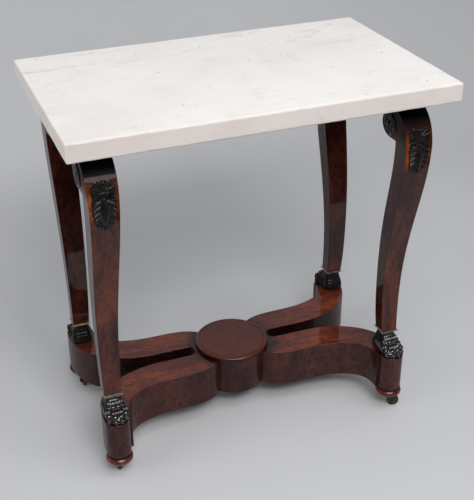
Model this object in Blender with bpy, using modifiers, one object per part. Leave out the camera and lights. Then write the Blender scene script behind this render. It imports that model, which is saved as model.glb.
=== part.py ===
"""Centre table: a marble slab on four scroll legs with paw feet, over a curved platform on castors.

Metres, +Z up. X runs along the long side, -Y is the front, and the origin is on the floor under
the middle of the table.
"""
import math

import bmesh
import bpy
from mathutils import Matrix, Vector

# Clearances
SEAT = 0.0003                # between two faces that rest on each other
FIT = 0.0003                 # around a tenon, dowel or spigot in its hole
RUNNING = 0.0005             # beside a piece that turns

# Marble slab
TOP_LENGTH = 0.730
TOP_WIDTH = 0.447
TOP_THICKNESS = 0.036
TOP_EDGE = 0.004             # rounding of the slab's edges
END_OVERHANG = 0.034         # slab past the legs' sides, at each end
FRONT_OVERHANG = 0.028       # slab past the legs' shoulders, front and back

# Hidden frame that carries the slab
RAIL_HEIGHT = 0.024
RAIL_WIDTH = 0.046
RAIL_OVERRUN = 0.024         # long rail past the centre of the leg
RAIL_TENON_LENGTH = 0.012
RAIL_TENON_WIDTH = 0.026
RAIL_TENON_HEIGHT = 0.012

# Scroll legs, seen from the side: an S-curve that rolls over into a volute at the top
LEG_HEIGHT = 0.5065          # from the collar to the frame
LEG_TOP_WIDTH = 0.058
LEG_ANKLE_WIDTH = 0.035
ANKLE_DEPTH = 0.027
WAIST_RISE = 0.092           # where the S-curve comes furthest in
WAIST_OUTER = 0.0083         # outer edge there, from the ankle's centre
WAIST_INNER = -0.0206        # inner edge there
SHOULDER_OUT = 0.0640        # outer edge at its furthest out
SHOULDER_DROP = 0.0745       # below the top of the leg
THROAT_OUT = 0.0225          # inner edge under the volute
VOLUTE_DROP = 0.0655         # underside of the volute, below the top of the leg
VOLUTE_BACK = -0.0275        # volute at its furthest in
CREST_OUT = 0.0035           # highest line of the roll
CREST_CUT = 0.0015           # planed off the roll to seat the frame
VOLUTE_EYE_OUT = -0.0035     # centre of the volute
VOLUTE_EYE_DROP = 0.0385
ANKLE_PULL = 0.8             # curve handles, as shares of the curve's run
OUTER_WAIST_PULL = 0.41
INNER_WAIST_PULL = 0.55
SHOULDER_PULL = 0.28
LEG_TENON_WIDTH = 0.020
LEG_TENON_DEPTH = 0.015
LEG_TENON_LENGTH = 0.018     # into the paw
DOWEL_RADIUS = 0.006
DOWEL_DEPTH = 0.016          # into the leg, and into the rail

# Carving on the legs
PALMETTE_WIDTH = 0.041
PALMETTE_HEIGHT = 0.089
PALMETTE_DROP = 0.0315       # top of the palmette, below the top of the leg
PALMETTE_THICKNESS = 0.0045
PALMETTE_LOBES = 17
PALMETTE_SCALLOP = 0.0012
PALMETTE_EGG = 0.18          # share that the upper end is wider, and the lower end narrower
ROUNDEL_RADIUS = 0.0235
ROUNDEL_RIM = 0.0022
ROUNDEL_BOSS = 0.0040
ROUNDEL_BOSS_RADIUS = 0.007
ROUNDEL_CROWN_RADIUS = 0.005 # shoulder of the rounded boss
ROUNDEL_CROWN = 0.0034

# Brass collar at the ankle
COLLAR_WIDTH = 0.039
COLLAR_DEPTH = 0.038
COLLAR_HEIGHT = 0.0045
COLLAR_EDGE = 0.0012

# Paw under the collar
PAW_HEIGHT = 0.042
PAW_WIDTH = 0.051
PAW_TOES = 0.053             # toes in front of the ankle's centre
PAW_HEEL = 0.024             # heel behind it
PAW_ANKLE_WIDTH = 0.034
PAW_ANKLE_DEPTH = 0.030
PAW_TOE_COUNT = 4
PAW_SQUARENESS = 3.2         # exponent of the paw's rounded outline
PAW_TOE_GROOVE = 0.0050
PAW_TOE_SHARPNESS = 3        # the higher, the narrower the groove between two toes
PAW_FLARE = 0.6              # exponents of the paw's spread towards the sole, and of its instep
PAW_INSTEP = 1.5
PAW_SPIGOT_RADIUS = 0.007
PAW_SPIGOT_LENGTH = 0.014
PAW_FORWARD = 0.030          # centre of the block under the paw, in front of the ankle

# Platform: four curved arms around a drum
PLATFORM_HEIGHT = 0.083
BLOCK_RADIUS = 0.0245        # half-round end of an arm
QUIRK_WIDTH = 0.0065         # step where the arm's hollow side meets its round end
QUIRK_DEPTH = 0.003
ARM_WIDTH = 0.066            # near the drum
ARM_EDGE = 0.0010
SLOT_HALF_WIDTH = 0.015      # gap between the two arms of a pair
SLOT_STRAIGHT = 0.066        # before the arms part
SLOT_WALL = 0.012            # between the drum and the end of the slot
SHOULDER_STEP = 0.009        # arm's corner beyond the drum
SHOULDER_ANGLE = math.radians(48)
HOLLOW_RUN = 0.010           # straight end of the hollow side, before the step
OUTER_PULL = 0.60            # curve handles, as shares of the curve's run
HOLLOW_PULL = 0.65
DRUM_SIDE_PULL = 0.45
CORNER_PULL = 0.2
DRUM_RADIUS = 0.072
TONGUE_LENGTH = 0.016        # arm's tongue into the drum
TONGUE_WIDTH = 0.016
TONGUE_SHOULDER = 0.014      # above and below the tongue
TONGUE_ANGLE = math.radians(24)

# Round disc on the drum
DISC_RADIUS = 0.0785
DISC_THICKNESS = 0.010
DISC_RING_INSET = 0.0075     # fine groove inside the rim
DISC_RING_WIDTH = 0.0016
DISC_RING_DEPTH = 0.0007
DISC_SPIGOT_RADIUS = 0.020
DISC_SPIGOT_LENGTH = 0.010

# Bun feet
BUN_HEIGHT = 0.0195
BUN_RING_RADIUS = 0.0272     # bead at the top
BUN_RING_HEIGHT = 0.0034
BUN_RADIUS = 0.0262          # of the cushion below the bead
BUN_BOTTOM_RADIUS = 0.0195
BUN_SHOULDER = math.radians(50)  # up from the cushion's widest place to the bead
BUN_SPIGOT_RADIUS = 0.009
BUN_SPIGOT_LENGTH = 0.016

# Swivel castors
CASTOR_HEIGHT = 0.0345       # from the floor to the bun foot
WHEEL_RADIUS = 0.0128
WHEEL_WIDTH = 0.0100
HUB_RADIUS = 0.0062
HUB_PROUD = 0.0008           # hub beyond the tyre, each side
WHEEL_EDGE = 0.0022
CASTOR_TRAIL = 0.012
PEG_RADIUS = 0.0040
PEG_LENGTH = 0.016
FLANGE_RADIUS = 0.0145
FLANGE_THICKNESS = 0.0022
PIVOT_RADIUS = 0.0030
PIVOT_HEAD_RADIUS = 0.0052
PIVOT_HEAD_HEIGHT = 0.0024
CROWN_RADIUS = 0.0118
CROWN_THICKNESS = 0.0032
CHEEK_THICKNESS = 0.0022
CHEEK_TOP_LENGTH = 0.0150
CHEEK_BOSS_RADIUS = 0.0046
CHEEK_ARC = math.radians(240)  # of the boss that is round
AXLE_RADIUS = 0.0018
AXLE_HEAD_RADIUS = 0.0032
AXLE_HEAD_HEIGHT = 0.0011
CASTOR_ANGLES = {            # way each castor trails at rest
    "front_left": math.radians(90),
    "front_right": math.radians(-20),
    "back_left": math.radians(-90),
    "back_right": math.radians(50),
}

# Levels, from the floor up
Z_BUN = CASTOR_HEIGHT
Z_PLATFORM = Z_BUN + BUN_HEIGHT + SEAT
Z_PLATFORM_TOP = Z_PLATFORM + PLATFORM_HEIGHT
Z_PAW = Z_PLATFORM_TOP + SEAT
Z_COLLAR = Z_PAW + PAW_HEIGHT + SEAT
Z_LEG = Z_COLLAR + COLLAR_HEIGHT + SEAT
Z_RAIL = Z_LEG + LEG_HEIGHT + SEAT
Z_SLAB = Z_RAIL + RAIL_HEIGHT + SEAT

# Places in plan
LEG_X = TOP_LENGTH / 2 - END_OVERHANG - LEG_TOP_WIDTH / 2
ANKLE_Y = TOP_WIDTH / 2 - FRONT_OVERHANG - SHOULDER_OUT
BLOCK_Y = ANKLE_Y + PAW_FORWARD
RAIL_Y = ANKLE_Y + CREST_OUT
LEG_TAPER = (LEG_TOP_WIDTH - LEG_ANKLE_WIDTH) / 2 / LEG_HEIGHT

# Corners of the table: the signs of X and Y
CORNERS = {
    "front_left": (-1, -1),
    "front_right": (1, -1),
    "back_left": (-1, 1),
    "back_right": (1, 1),
}

# Smoothness of curved outlines and turned pieces
CURVE_STEPS = 9
EDGE_STEPS = 3               # across the slab's rounded edges
ARC_STEPS = 4
TURN_STEPS = 20
SMALL_TURN_STEPS = 16
DISC_STEPS = 40
SEAT_STEPS = 12              # arm's seat round the drum
TOE_STEPS = 4                # points across each toe
HEEL_STEPS = 12
PAW_LEVELS = 5
LOBE_STEPS = 3
SMOOTH_ANGLE = math.radians(40)

# Materials: colour, roughness, metallic
FINISHES = {
    "marble": ((0.84, 0.82, 0.79), 0.35, 0.0),
    "mahogany": ((0.12, 0.035, 0.018), 0.22, 0.0),
    "ebonised": ((0.012, 0.011, 0.011), 0.35, 0.0),
    "brass": ((0.52, 0.38, 0.22), 0.35, 1.0),
    "castor_metal": ((0.06, 0.045, 0.032), 0.45, 1.0),
    "deal": ((0.20, 0.11, 0.055), 0.7, 0.0),
}


def clear_scene():
    for obj in list(bpy.data.objects):
        bpy.data.objects.remove(obj, do_unlink=True)


def new_collection(name):
    collection = bpy.data.collections.new(name)
    bpy.context.scene.collection.children.link(collection)
    return collection


def new_material(name, finish):
    colour, roughness, metallic = FINISHES[finish]
    material = bpy.data.materials.new(name)
    material.use_nodes = True
    shader = material.node_tree.nodes["Principled BSDF"]
    shader.inputs["Base Color"].default_value = (*colour, 1.0)
    shader.inputs["Roughness"].default_value = roughness
    shader.inputs["Metallic"].default_value = metallic
    return material


def link_temporary(name, data):
    obj = bpy.data.objects.new(name, data)
    bpy.context.scene.collection.objects.link(obj)
    return obj


def bake(obj):
    """The object's evaluated mesh, welded and with its faces out; the object is removed."""
    bpy.context.view_layer.update()
    graph = bpy.context.evaluated_depsgraph_get()
    mesh = bpy.data.meshes.new_from_object(obj.evaluated_get(graph))
    form = bmesh.new()
    form.from_mesh(mesh)
    form.transform(obj.matrix_world)
    bmesh.ops.remove_doubles(form, verts=form.verts, dist=1e-6)
    bmesh.ops.recalc_face_normals(form, faces=form.faces)
    form.to_mesh(mesh)
    form.free()
    bpy.data.objects.remove(obj, do_unlink=True)
    return mesh


def prism(outline, thickness, place=Matrix()):
    """Mesh of a closed 2D outline, given the thickness about its plane and then placed."""
    curve = bpy.data.curves.new("outline", "CURVE")
    curve.dimensions = "2D"
    curve.fill_mode = "BOTH"
    curve.extrude = thickness / 2
    spline = curve.splines.new("POLY")
    spline.points.add(len(outline) - 1)
    for point, (u, v) in zip(spline.points, outline):
        point.co = (u, v, 0.0, 1.0)
    spline.use_cyclic_u = True
    obj = link_temporary("outline", curve)
    obj.matrix_world = place
    return bake(obj)


def turned(profile, steps):
    """Mesh of a profile of (radius, height) points, given from the top down its outer side."""
    mesh = bpy.data.meshes.new("profile")
    points = [(radius, 0.0, height) for radius, height in profile]
    mesh.from_pydata(points, [(i, i + 1) for i in range(len(points) - 1)], [])
    obj = link_temporary("profile", mesh)
    screw = obj.modifiers.new("turn", "SCREW")
    screw.axis = "Z"
    screw.steps = steps
    screw.render_steps = steps
    screw.use_merge_vertices = True
    screw.merge_threshold = 0.00001
    return bake(obj)


def box(size, centre):
    form = bmesh.new()
    bmesh.ops.create_cube(form, size=1.0)
    bmesh.ops.scale(form, vec=size, verts=form.verts)
    bmesh.ops.translate(form, vec=centre, verts=form.verts)
    mesh = bpy.data.meshes.new("box")
    form.to_mesh(mesh)
    form.free()
    return mesh


def rod(radius, low, high, steps=SMALL_TURN_STEPS, centre=(0.0, 0.0)):
    """Mesh of an upright cylinder between two heights."""
    form = bmesh.new()
    place = Matrix.Translation((*centre, (low + high) / 2))
    bmesh.ops.create_cone(form, cap_ends=True, segments=steps, radius1=radius, radius2=radius,
                          depth=high - low, matrix=place)
    mesh = bpy.data.meshes.new("rod")
    form.to_mesh(mesh)
    form.free()
    return mesh


def moved(mesh, matrix):
    mesh.transform(matrix)
    return mesh


def mirrored_x(mesh):
    copy = mesh.copy()
    copy.transform(Matrix.Scale(-1, 4, (1, 0, 0)))
    copy.flip_normals()
    return copy


def combined(mesh, operation, *others):
    """Mesh after a Boolean with each of the other meshes in turn."""
    obj = link_temporary("body", mesh)
    tools = []
    for other in others:
        tool = link_temporary("tool", other)
        CUTTERS.objects.link(tool)
        bpy.context.scene.collection.objects.unlink(tool)
        tool.hide_render = True
        tool.display_type = "WIRE"
        modifier = obj.modifiers.new("boolean", "BOOLEAN")
        modifier.operation = operation
        modifier.object = tool
        tools.append(tool)
    result = bake(obj)
    for tool in tools:
        bpy.data.objects.remove(tool, do_unlink=True)
    return result


def bevelled(mesh, width, segments, angle=math.radians(50)):
    obj = link_temporary("body", mesh)
    bevel = obj.modifiers.new("edges", "BEVEL")
    bevel.width = width
    bevel.segments = segments
    bevel.limit_method = "ANGLE"
    bevel.angle_limit = angle
    bevel.use_clamp_overlap = True
    return bake(obj)


def add_part(name, mesh, finish, location=(0.0, 0.0, 0.0), turn=0.0, parent=None):
    """A named sub-part with its own material, turned about Z at its place."""
    part = bpy.data.objects.new(name, mesh.copy())
    part.data.name = name
    part.data.materials.clear()
    part.data.materials.append(new_material(name + "_finish", finish))
    part.data.shade_smooth()
    part.data.set_sharp_from_angle(angle=SMOOTH_ANGLE)
    part.location = location
    part.rotation_euler = (0.0, 0.0, turn)
    part.parent = parent or TABLE
    PARTS.objects.link(part)
    return part


def add_empty(name, location, turn=0.0):
    empty = bpy.data.objects.new(name, None)
    empty.location = location
    empty.rotation_euler = (0.0, 0.0, turn)
    empty.empty_display_size = 0.03
    if name != "table":
        empty.parent = TABLE
    PARTS.objects.link(empty)
    return empty


def bezier(start, start_handle, end_handle, end, steps=CURVE_STEPS):
    """Points of a cubic curve after its start, up to and with its end."""
    points = []
    for i in range(1, steps + 1):
        t = i / steps
        weights = ((1 - t) ** 3, 3 * t * (1 - t) ** 2, 3 * t * t * (1 - t), t ** 3)
        controls = (start, start_handle, end_handle, end)
        points.append(tuple(sum(w * c[k] for w, c in zip(weights, controls)) for k in (0, 1)))
    return points


def arc(centre, radii, start, end, steps=ARC_STEPS):
    """Points of an elliptical arc after its start, up to and with its end."""
    angles = [start + (end - start) * i / steps for i in range(1, steps + 1)]
    return [(centre[0] + radii[0] * math.cos(a), centre[1] + radii[1] * math.sin(a)) for a in angles]


def outward_turn(sign_y):
    """Turn about Z that points a piece made for the back (+Y) to its own side."""
    return 0.0 if sign_y > 0 else math.pi


def slab():
    mesh = box((TOP_LENGTH, TOP_WIDTH, TOP_THICKNESS), (0, 0, TOP_THICKNESS / 2))
    add_part("marble_top", bevelled(mesh, TOP_EDGE, EDGE_STEPS), "marble", (0, 0, Z_SLAB))


def dowel_hole(height, upward):
    """Cutter for a dowel, from a face at this height."""
    depth = DOWEL_DEPTH + FIT
    low, high = (height - SEAT, height + depth) if upward else (height - depth, height + SEAT)
    return rod(DOWEL_RADIUS + FIT, low, high)


def under_frame():
    long_length = 2 * (LEG_X + RAIL_OVERRUN)
    rail = box((long_length, RAIL_WIDTH, RAIL_HEIGHT), (0, 0, RAIL_HEIGHT / 2))
    cutters = []
    mortise = (RAIL_TENON_WIDTH + 2 * FIT, RAIL_TENON_LENGTH + FIT, RAIL_TENON_HEIGHT + 2 * FIT)
    mortise_y = (mortise[1] - RAIL_WIDTH) / 2 - SEAT
    for sign in (-1, 1):
        cutters.append(box(mortise, (sign * LEG_X, mortise_y, RAIL_HEIGHT / 2)))
        cutters.append(moved(dowel_hole(0, True), Matrix.Translation((sign * LEG_X, 0, 0))))
    rail = combined(rail, "DIFFERENCE", *cutters)
    add_part("frame_rail_front", rail, "deal", (0, -RAIL_Y, Z_RAIL), math.pi)
    add_part("frame_rail_back", rail, "deal", (0, RAIL_Y, Z_RAIL))

    span = 2 * RAIL_Y - RAIL_WIDTH - 2 * SEAT
    tenon_span = span + 2 * RAIL_TENON_LENGTH
    end = box((RAIL_WIDTH, span, RAIL_HEIGHT), (0, 0, RAIL_HEIGHT / 2))
    tenon = box((RAIL_TENON_WIDTH, tenon_span, RAIL_TENON_HEIGHT), (0, 0, RAIL_HEIGHT / 2))
    end = combined(end, "UNION", tenon)
    add_part("frame_rail_left", end, "deal", (-LEG_X, 0, Z_RAIL))
    add_part("frame_rail_right", end, "deal", (LEG_X, 0, Z_RAIL))


def ankle_curve(ankle, waist):
    """Handles of the short curve between the ankle and the waist, from the ankle up."""
    return ((ankle[0] - ANKLE_PULL * (ankle[0] - waist[0]), WAIST_RISE / 3),
            (waist[0], WAIST_RISE * 2 / 3))


def leg_outer_edge():
    """Outer edge of the leg from the ankle to the crest: (outward, up) from the ankle's centre."""
    ankle = (ANKLE_DEPTH / 2, 0.0)
    waist = (WAIST_OUTER, WAIST_RISE)
    shoulder = (SHOULDER_OUT, LEG_HEIGHT - SHOULDER_DROP)
    rise = shoulder[1] - waist[1]
    points = [ankle]
    points += bezier(ankle, *ankle_curve(ankle, waist), waist, CURVE_STEPS // 2)
    points += bezier(waist, (waist[0], waist[1] + OUTER_WAIST_PULL * rise),
                     (shoulder[0], shoulder[1] - SHOULDER_PULL * rise), shoulder)
    points += arc((CREST_OUT, shoulder[1]), (SHOULDER_OUT - CREST_OUT, SHOULDER_DROP + CREST_CUT),
                  0.0, math.pi / 2, CURVE_STEPS)
    return points


def leg_inner_edge():
    """Inner edge from the crest round the volute and down to the ankle."""
    ankle = (-ANKLE_DEPTH / 2, 0.0)
    waist = (WAIST_INNER, WAIST_RISE)
    throat = (THROAT_OUT, LEG_HEIGHT - VOLUTE_DROP)
    eye = (VOLUTE_EYE_OUT, LEG_HEIGHT - VOLUTE_EYE_DROP)
    rise = throat[1] - waist[1]
    low, high = ankle_curve(ankle, waist)
    points = arc((CREST_OUT, eye[1]), (CREST_OUT - VOLUTE_BACK, VOLUTE_EYE_DROP + CREST_CUT),
                 math.pi / 2, math.pi, CURVE_STEPS)
    points += arc(eye, (eye[0] - VOLUTE_BACK, VOLUTE_DROP - VOLUTE_EYE_DROP),
                  math.pi, math.pi * 3 / 2, CURVE_STEPS // 2)
    points.append(throat)
    points += bezier(throat, (throat[0], throat[1] - SHOULDER_PULL * rise),
                     (waist[0], waist[1] + INNER_WAIST_PULL * rise), waist)
    points += bezier(waist, high, low, ankle, CURVE_STEPS // 2)
    return points


def side_to_world():
    """Sends an outline's (outward, up) to Y and Z, and its thickness to X."""
    return Matrix(((0, 0, 1, 0), (1, 0, 0, 0), (0, 1, 0, 0), (0, 0, 0, 1)))


def leg_half_width(rise):
    return LEG_ANKLE_WIDTH / 2 + LEG_TAPER * rise


def taper_leg(mesh):
    for vertex in mesh.vertices:
        vertex.co.x *= leg_half_width(vertex.co.z) / (LEG_TOP_WIDTH / 2)
    return mesh


def legs():
    outline = leg_outer_edge() + leg_inner_edge()
    leg = taper_leg(prism(outline, LEG_TOP_WIDTH, side_to_world()))
    planed = box((2 * LEG_TOP_WIDTH, 4 * SHOULDER_OUT, 2 * CREST_CUT), (0, 0, LEG_HEIGHT + CREST_CUT))
    hole = moved(dowel_hole(LEG_HEIGHT, False), Matrix.Translation((0, CREST_OUT, 0)))
    leg = combined(leg, "DIFFERENCE", planed, hole)
    reach = COLLAR_HEIGHT + 2 * SEAT + LEG_TENON_LENGTH
    tenon = box((LEG_TENON_WIDTH, LEG_TENON_DEPTH, 2 * reach), (0, 0, 0))
    leg = combined(leg, "UNION", tenon)
    dowel = rod(DOWEL_RADIUS, -DOWEL_DEPTH, DOWEL_DEPTH + SEAT)
    for corner, (x, y) in CORNERS.items():
        add_part("leg_" + corner, leg, "mahogany", (x * LEG_X, y * ANKLE_Y, Z_LEG), outward_turn(y))
        add_part("leg_dowel_" + corner, dowel, "deal", (x * LEG_X, y * RAIL_Y, Z_LEG + LEG_HEIGHT))


def palmette_outline():
    """Egg-shaped outline with scalloped petals, hung from its wide end: (across, up)."""
    count = PALMETTE_LOBES * LOBE_STEPS
    points = []
    for i in range(count):
        angle = 2 * math.pi * i / count
        wide = PALMETTE_WIDTH / 2 * (1 + PALMETTE_EGG * math.sin(angle))
        lobe = PALMETTE_SCALLOP * (abs(math.sin(PALMETTE_LOBES * angle / 2)) - 1)
        points.append(((wide + lobe) * math.cos(angle), (PALMETTE_HEIGHT / 2 + lobe) * math.sin(angle)))
    return points


def offset_along(points, distance):
    """Points of an open outline moved to its right-hand side."""
    result = []
    for i, point in enumerate(points):
        before = Vector(points[max(i - 1, 0)])
        after = Vector(points[min(i + 1, len(points) - 1)])
        along = (after - before).normalized()
        result.append((point[0] + along.y * distance, point[1] - along.x * distance))
    return result


def palmettes():
    top = LEG_HEIGHT - PALMETTE_DROP
    lowest = top - 2 * PALMETTE_HEIGHT
    edge = [p for p in leg_outer_edge() if lowest < p[1] < LEG_HEIGHT - CREST_CUT]
    inner = offset_along(edge, SEAT)
    outer = offset_along(edge, SEAT + PALMETTE_THICKNESS)
    plate = prism(inner + outer[::-1], 2 * PALMETTE_WIDTH, side_to_world())
    middle = top - PALMETTE_HEIGHT / 2
    upright = Matrix.Translation((0, SHOULDER_OUT, middle)) @ Matrix.Rotation(math.pi / 2, 4, "X")
    shape = prism(palmette_outline(), 2 * SHOULDER_OUT, upright)
    palmette = combined(plate, "INTERSECT", shape)
    for corner, (x, y) in CORNERS.items():
        add_part("palmette_" + corner, palmette, "ebonised",
                 (x * LEG_X, y * ANKLE_Y, Z_LEG), outward_turn(y))


def roundels():
    """Turned bosses over the volutes' eyes, on both sides of each leg."""
    rim = ROUNDEL_RADIUS - ROUNDEL_RIM
    profile = [
        (0.0, ROUNDEL_BOSS),
        (ROUNDEL_CROWN_RADIUS, ROUNDEL_CROWN),
        (ROUNDEL_BOSS_RADIUS, ROUNDEL_RIM / 2),
        (rim - ROUNDEL_RIM, ROUNDEL_RIM / 2),
        (rim, ROUNDEL_RIM),
        (ROUNDEL_RADIUS, ROUNDEL_RIM / 2),
        (ROUNDEL_RADIUS, 0.0),
        (0.0, 0.0),
    ]
    boss = turned(profile, SMALL_TURN_STEPS)
    rise = LEG_HEIGHT - VOLUTE_EYE_DROP
    lean = math.atan(LEG_TAPER)
    for side, sign in (("left", -1), ("right", 1)):
        on_face = Matrix.Translation((sign * (leg_half_width(rise) + SEAT), 0, rise))
        facing = Matrix.Rotation(sign * (math.pi / 2 + lean), 4, "Y")
        roundel = boss.copy()
        roundel.transform(on_face @ facing)
        for corner, (x, y) in CORNERS.items():
            place = (x * LEG_X, y * (ANKLE_Y + VOLUTE_EYE_OUT), Z_LEG)
            add_part("volute_roundel_" + corner + "_" + side, roundel, "ebonised", place)


def collars():
    ring = box((COLLAR_WIDTH, COLLAR_DEPTH, COLLAR_HEIGHT), (0, 0, COLLAR_HEIGHT / 2))
    ring = bevelled(ring, COLLAR_EDGE, 1)
    hole = (LEG_TENON_WIDTH + 2 * FIT, LEG_TENON_DEPTH + 2 * FIT, 2 * COLLAR_HEIGHT)
    ring = combined(ring, "DIFFERENCE", box(hole, (0, 0, COLLAR_HEIGHT / 2)))
    for corner, (x, y) in CORNERS.items():
        add_part("ankle_collar_" + corner, ring, "brass",
                 (x * LEG_X, y * ANKLE_Y, Z_COLLAR), outward_turn(y))


def paw_ring(level):
    """Outline of the paw at a level from 0 at the sole to 1 at the ankle: (across, outward)."""
    spread = math.cos(math.pi / 2 * level) ** PAW_FLARE
    half = (PAW_ANKLE_WIDTH + (PAW_WIDTH - PAW_ANKLE_WIDTH) * spread) / 2
    front = PAW_ANKLE_DEPTH / 2 + (PAW_TOES - PAW_ANKLE_DEPTH / 2) * (1 - level ** PAW_INSTEP)
    back = PAW_ANKLE_DEPTH / 2 + (PAW_HEEL - PAW_ANKLE_DEPTH / 2) * (1 - level)
    points = []
    toe_points = PAW_TOE_COUNT * TOE_STEPS
    for i in range(toe_points + 1):
        across = 1 - 2 * i / toe_points
        along = (1 - abs(across) ** PAW_SQUARENESS) ** (1 / PAW_SQUARENESS)
        crease = abs(math.cos(math.pi * i / TOE_STEPS)) ** PAW_TOE_SHARPNESS
        groove = PAW_TOE_GROOVE * crease * along * (1 - level)
        points.append((half * across, front * along - groove))
    for i in range(1, HEEL_STEPS):
        angle = math.pi + math.pi * i / HEEL_STEPS
        across = math.copysign(abs(math.cos(angle)) ** (2 / PAW_SQUARENESS), math.cos(angle))
        points.append((half * across, -back * abs(math.sin(angle)) ** (2 / PAW_SQUARENESS)))
    return points


def paws():
    form = bmesh.new()
    rings = []
    for i in range(PAW_LEVELS + 1):
        level = i / PAW_LEVELS
        rings.append([form.verts.new((x, y, level * PAW_HEIGHT)) for x, y in paw_ring(level)])
    for low, high in zip(rings, rings[1:]):
        for i in range(len(low)):
            j = (i + 1) % len(low)
            form.faces.new((low[i], low[j], high[j], high[i]))
    form.faces.new(rings[0][::-1])
    form.faces.new(rings[-1])
    mesh = bpy.data.meshes.new("paw")
    form.to_mesh(mesh)
    form.free()
    spigot = rod(PAW_SPIGOT_RADIUS, -PAW_SPIGOT_LENGTH, PAW_SPIGOT_LENGTH, centre=(0, PAW_FORWARD / 2))
    mesh = combined(mesh, "UNION", spigot)
    depth = LEG_TENON_LENGTH + FIT
    mortise = (LEG_TENON_WIDTH + 2 * FIT, LEG_TENON_DEPTH + 2 * FIT, 2 * depth)
    mesh = combined(mesh, "DIFFERENCE", box(mortise, (0, 0, PAW_HEIGHT)))
    for corner, (x, y) in CORNERS.items():
        add_part("paw_" + corner, mesh, "ebonised", (x * LEG_X, y * ANKLE_Y, Z_PAW), outward_turn(y))


def polar(radius, angle):
    return (radius * math.cos(angle), radius * math.sin(angle))


def arm_outline():
    """Plan of the back right arm, from the drum out along the slot and back along the hollow side."""
    seam = SEAT / 2
    drum = DRUM_RADIUS + SEAT
    slot = DRUM_RADIUS + SLOT_WALL + SLOT_HALF_WIDTH
    straight = (slot + SLOT_STRAIGHT, SLOT_HALF_WIDTH)
    outer_x = LEG_X + BLOCK_RADIUS
    inner_x = LEG_X - BLOCK_RADIUS - QUIRK_WIDTH
    quirk_y = BLOCK_Y - QUIRK_DEPTH
    bend_y = quirk_y - HOLLOW_RUN
    hollow = ((straight[0] + slot) / 2 + SLOT_HALF_WIDTH, SLOT_HALF_WIDTH + ARM_WIDTH)
    corner = polar(DRUM_RADIUS + SHOULDER_STEP, SHOULDER_ANGLE)
    run, rise = inner_x - hollow[0], bend_y - hollow[1]
    out, up = outer_x - straight[0], bend_y - straight[1]
    back = hollow[0] - corner[0]

    points = [(drum, seam), (slot - SLOT_HALF_WIDTH, seam)]
    points += arc((slot, seam), (SLOT_HALF_WIDTH, SLOT_HALF_WIDTH - seam), math.pi, math.pi / 2)
    points.append(straight)
    points += bezier(straight, (straight[0] + OUTER_PULL * out, straight[1]),
                     (outer_x, bend_y - OUTER_PULL * up), (outer_x, bend_y))
    points.append((outer_x, BLOCK_Y))
    points += arc((LEG_X, BLOCK_Y), (BLOCK_RADIUS, BLOCK_RADIUS), 0.0, math.pi, 2 * ARC_STEPS)
    points += [(LEG_X - BLOCK_RADIUS, quirk_y), (inner_x, quirk_y), (inner_x, bend_y)]
    points += bezier((inner_x, bend_y), (inner_x, bend_y - HOLLOW_PULL * rise),
                     (hollow[0] + HOLLOW_PULL * run, hollow[1]), hollow)
    points += bezier(hollow, (hollow[0] - DRUM_SIDE_PULL * back, hollow[1]),
                     (corner[0] + CORNER_PULL * back, corner[1] + CORNER_PULL * back), corner, ARC_STEPS)
    points.append(polar(drum, SHOULDER_ANGLE))
    points += arc((0, 0), (drum, drum), SHOULDER_ANGLE, seam / drum, SEAT_STEPS)[:-1]
    return points


def tongue(clearance):
    """Arm's tongue, or with a clearance the cutter for its mortise in the drum."""
    inner = DRUM_RADIUS - TONGUE_LENGTH - clearance
    outer = DRUM_RADIUS + SLOT_WALL / 2
    height = PLATFORM_HEIGHT - 2 * TONGUE_SHOULDER + 2 * clearance
    size = (outer - inner, TONGUE_WIDTH + 2 * clearance, height)
    mesh = box(size, ((inner + outer) / 2, 0, PLATFORM_HEIGHT / 2))
    return moved(mesh, Matrix.Rotation(TONGUE_ANGLE, 4, "Z"))


def arms():
    middle = Matrix.Translation((0, 0, PLATFORM_HEIGHT / 2))
    arm = bevelled(prism(arm_outline(), PLATFORM_HEIGHT, middle), ARM_EDGE, 1)
    paw_hole = rod(PAW_SPIGOT_RADIUS + FIT, PLATFORM_HEIGHT - PAW_SPIGOT_LENGTH - FIT,
                   PLATFORM_HEIGHT + FIT, centre=(LEG_X, ANKLE_Y + PAW_FORWARD / 2))
    bun_hole = rod(BUN_SPIGOT_RADIUS + FIT, -FIT, BUN_SPIGOT_LENGTH + FIT, TURN_STEPS, (LEG_X, BLOCK_Y))
    arm = combined(arm, "DIFFERENCE", paw_hole, bun_hole)
    arm = combined(arm, "UNION", tongue(0.0))
    other = mirrored_x(arm)
    for corner, (x, y) in CORNERS.items():
        mesh = arm if x == y else other
        add_part("platform_arm_" + corner, mesh, "mahogany", (0, 0, Z_PLATFORM), outward_turn(y))


def drum():
    hole = DISC_SPIGOT_RADIUS + FIT
    depth = PLATFORM_HEIGHT - DISC_SPIGOT_LENGTH - FIT
    profile = [
        (0.0, depth),
        (hole, depth),
        (hole, PLATFORM_HEIGHT),
        (DRUM_RADIUS, PLATFORM_HEIGHT),
        (DRUM_RADIUS, 0.0),
        (0.0, 0.0),
    ]
    mesh = turned(profile, DISC_STEPS)
    cutters = []
    for x, y in CORNERS.values():
        cutter = tongue(FIT) if x == y else mirrored_x(tongue(FIT))
        cutters.append(moved(cutter, Matrix.Rotation(outward_turn(y), 4, "Z")))
    add_part("platform_drum", combined(mesh, "DIFFERENCE", *cutters), "mahogany", (0, 0, Z_PLATFORM))


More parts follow.
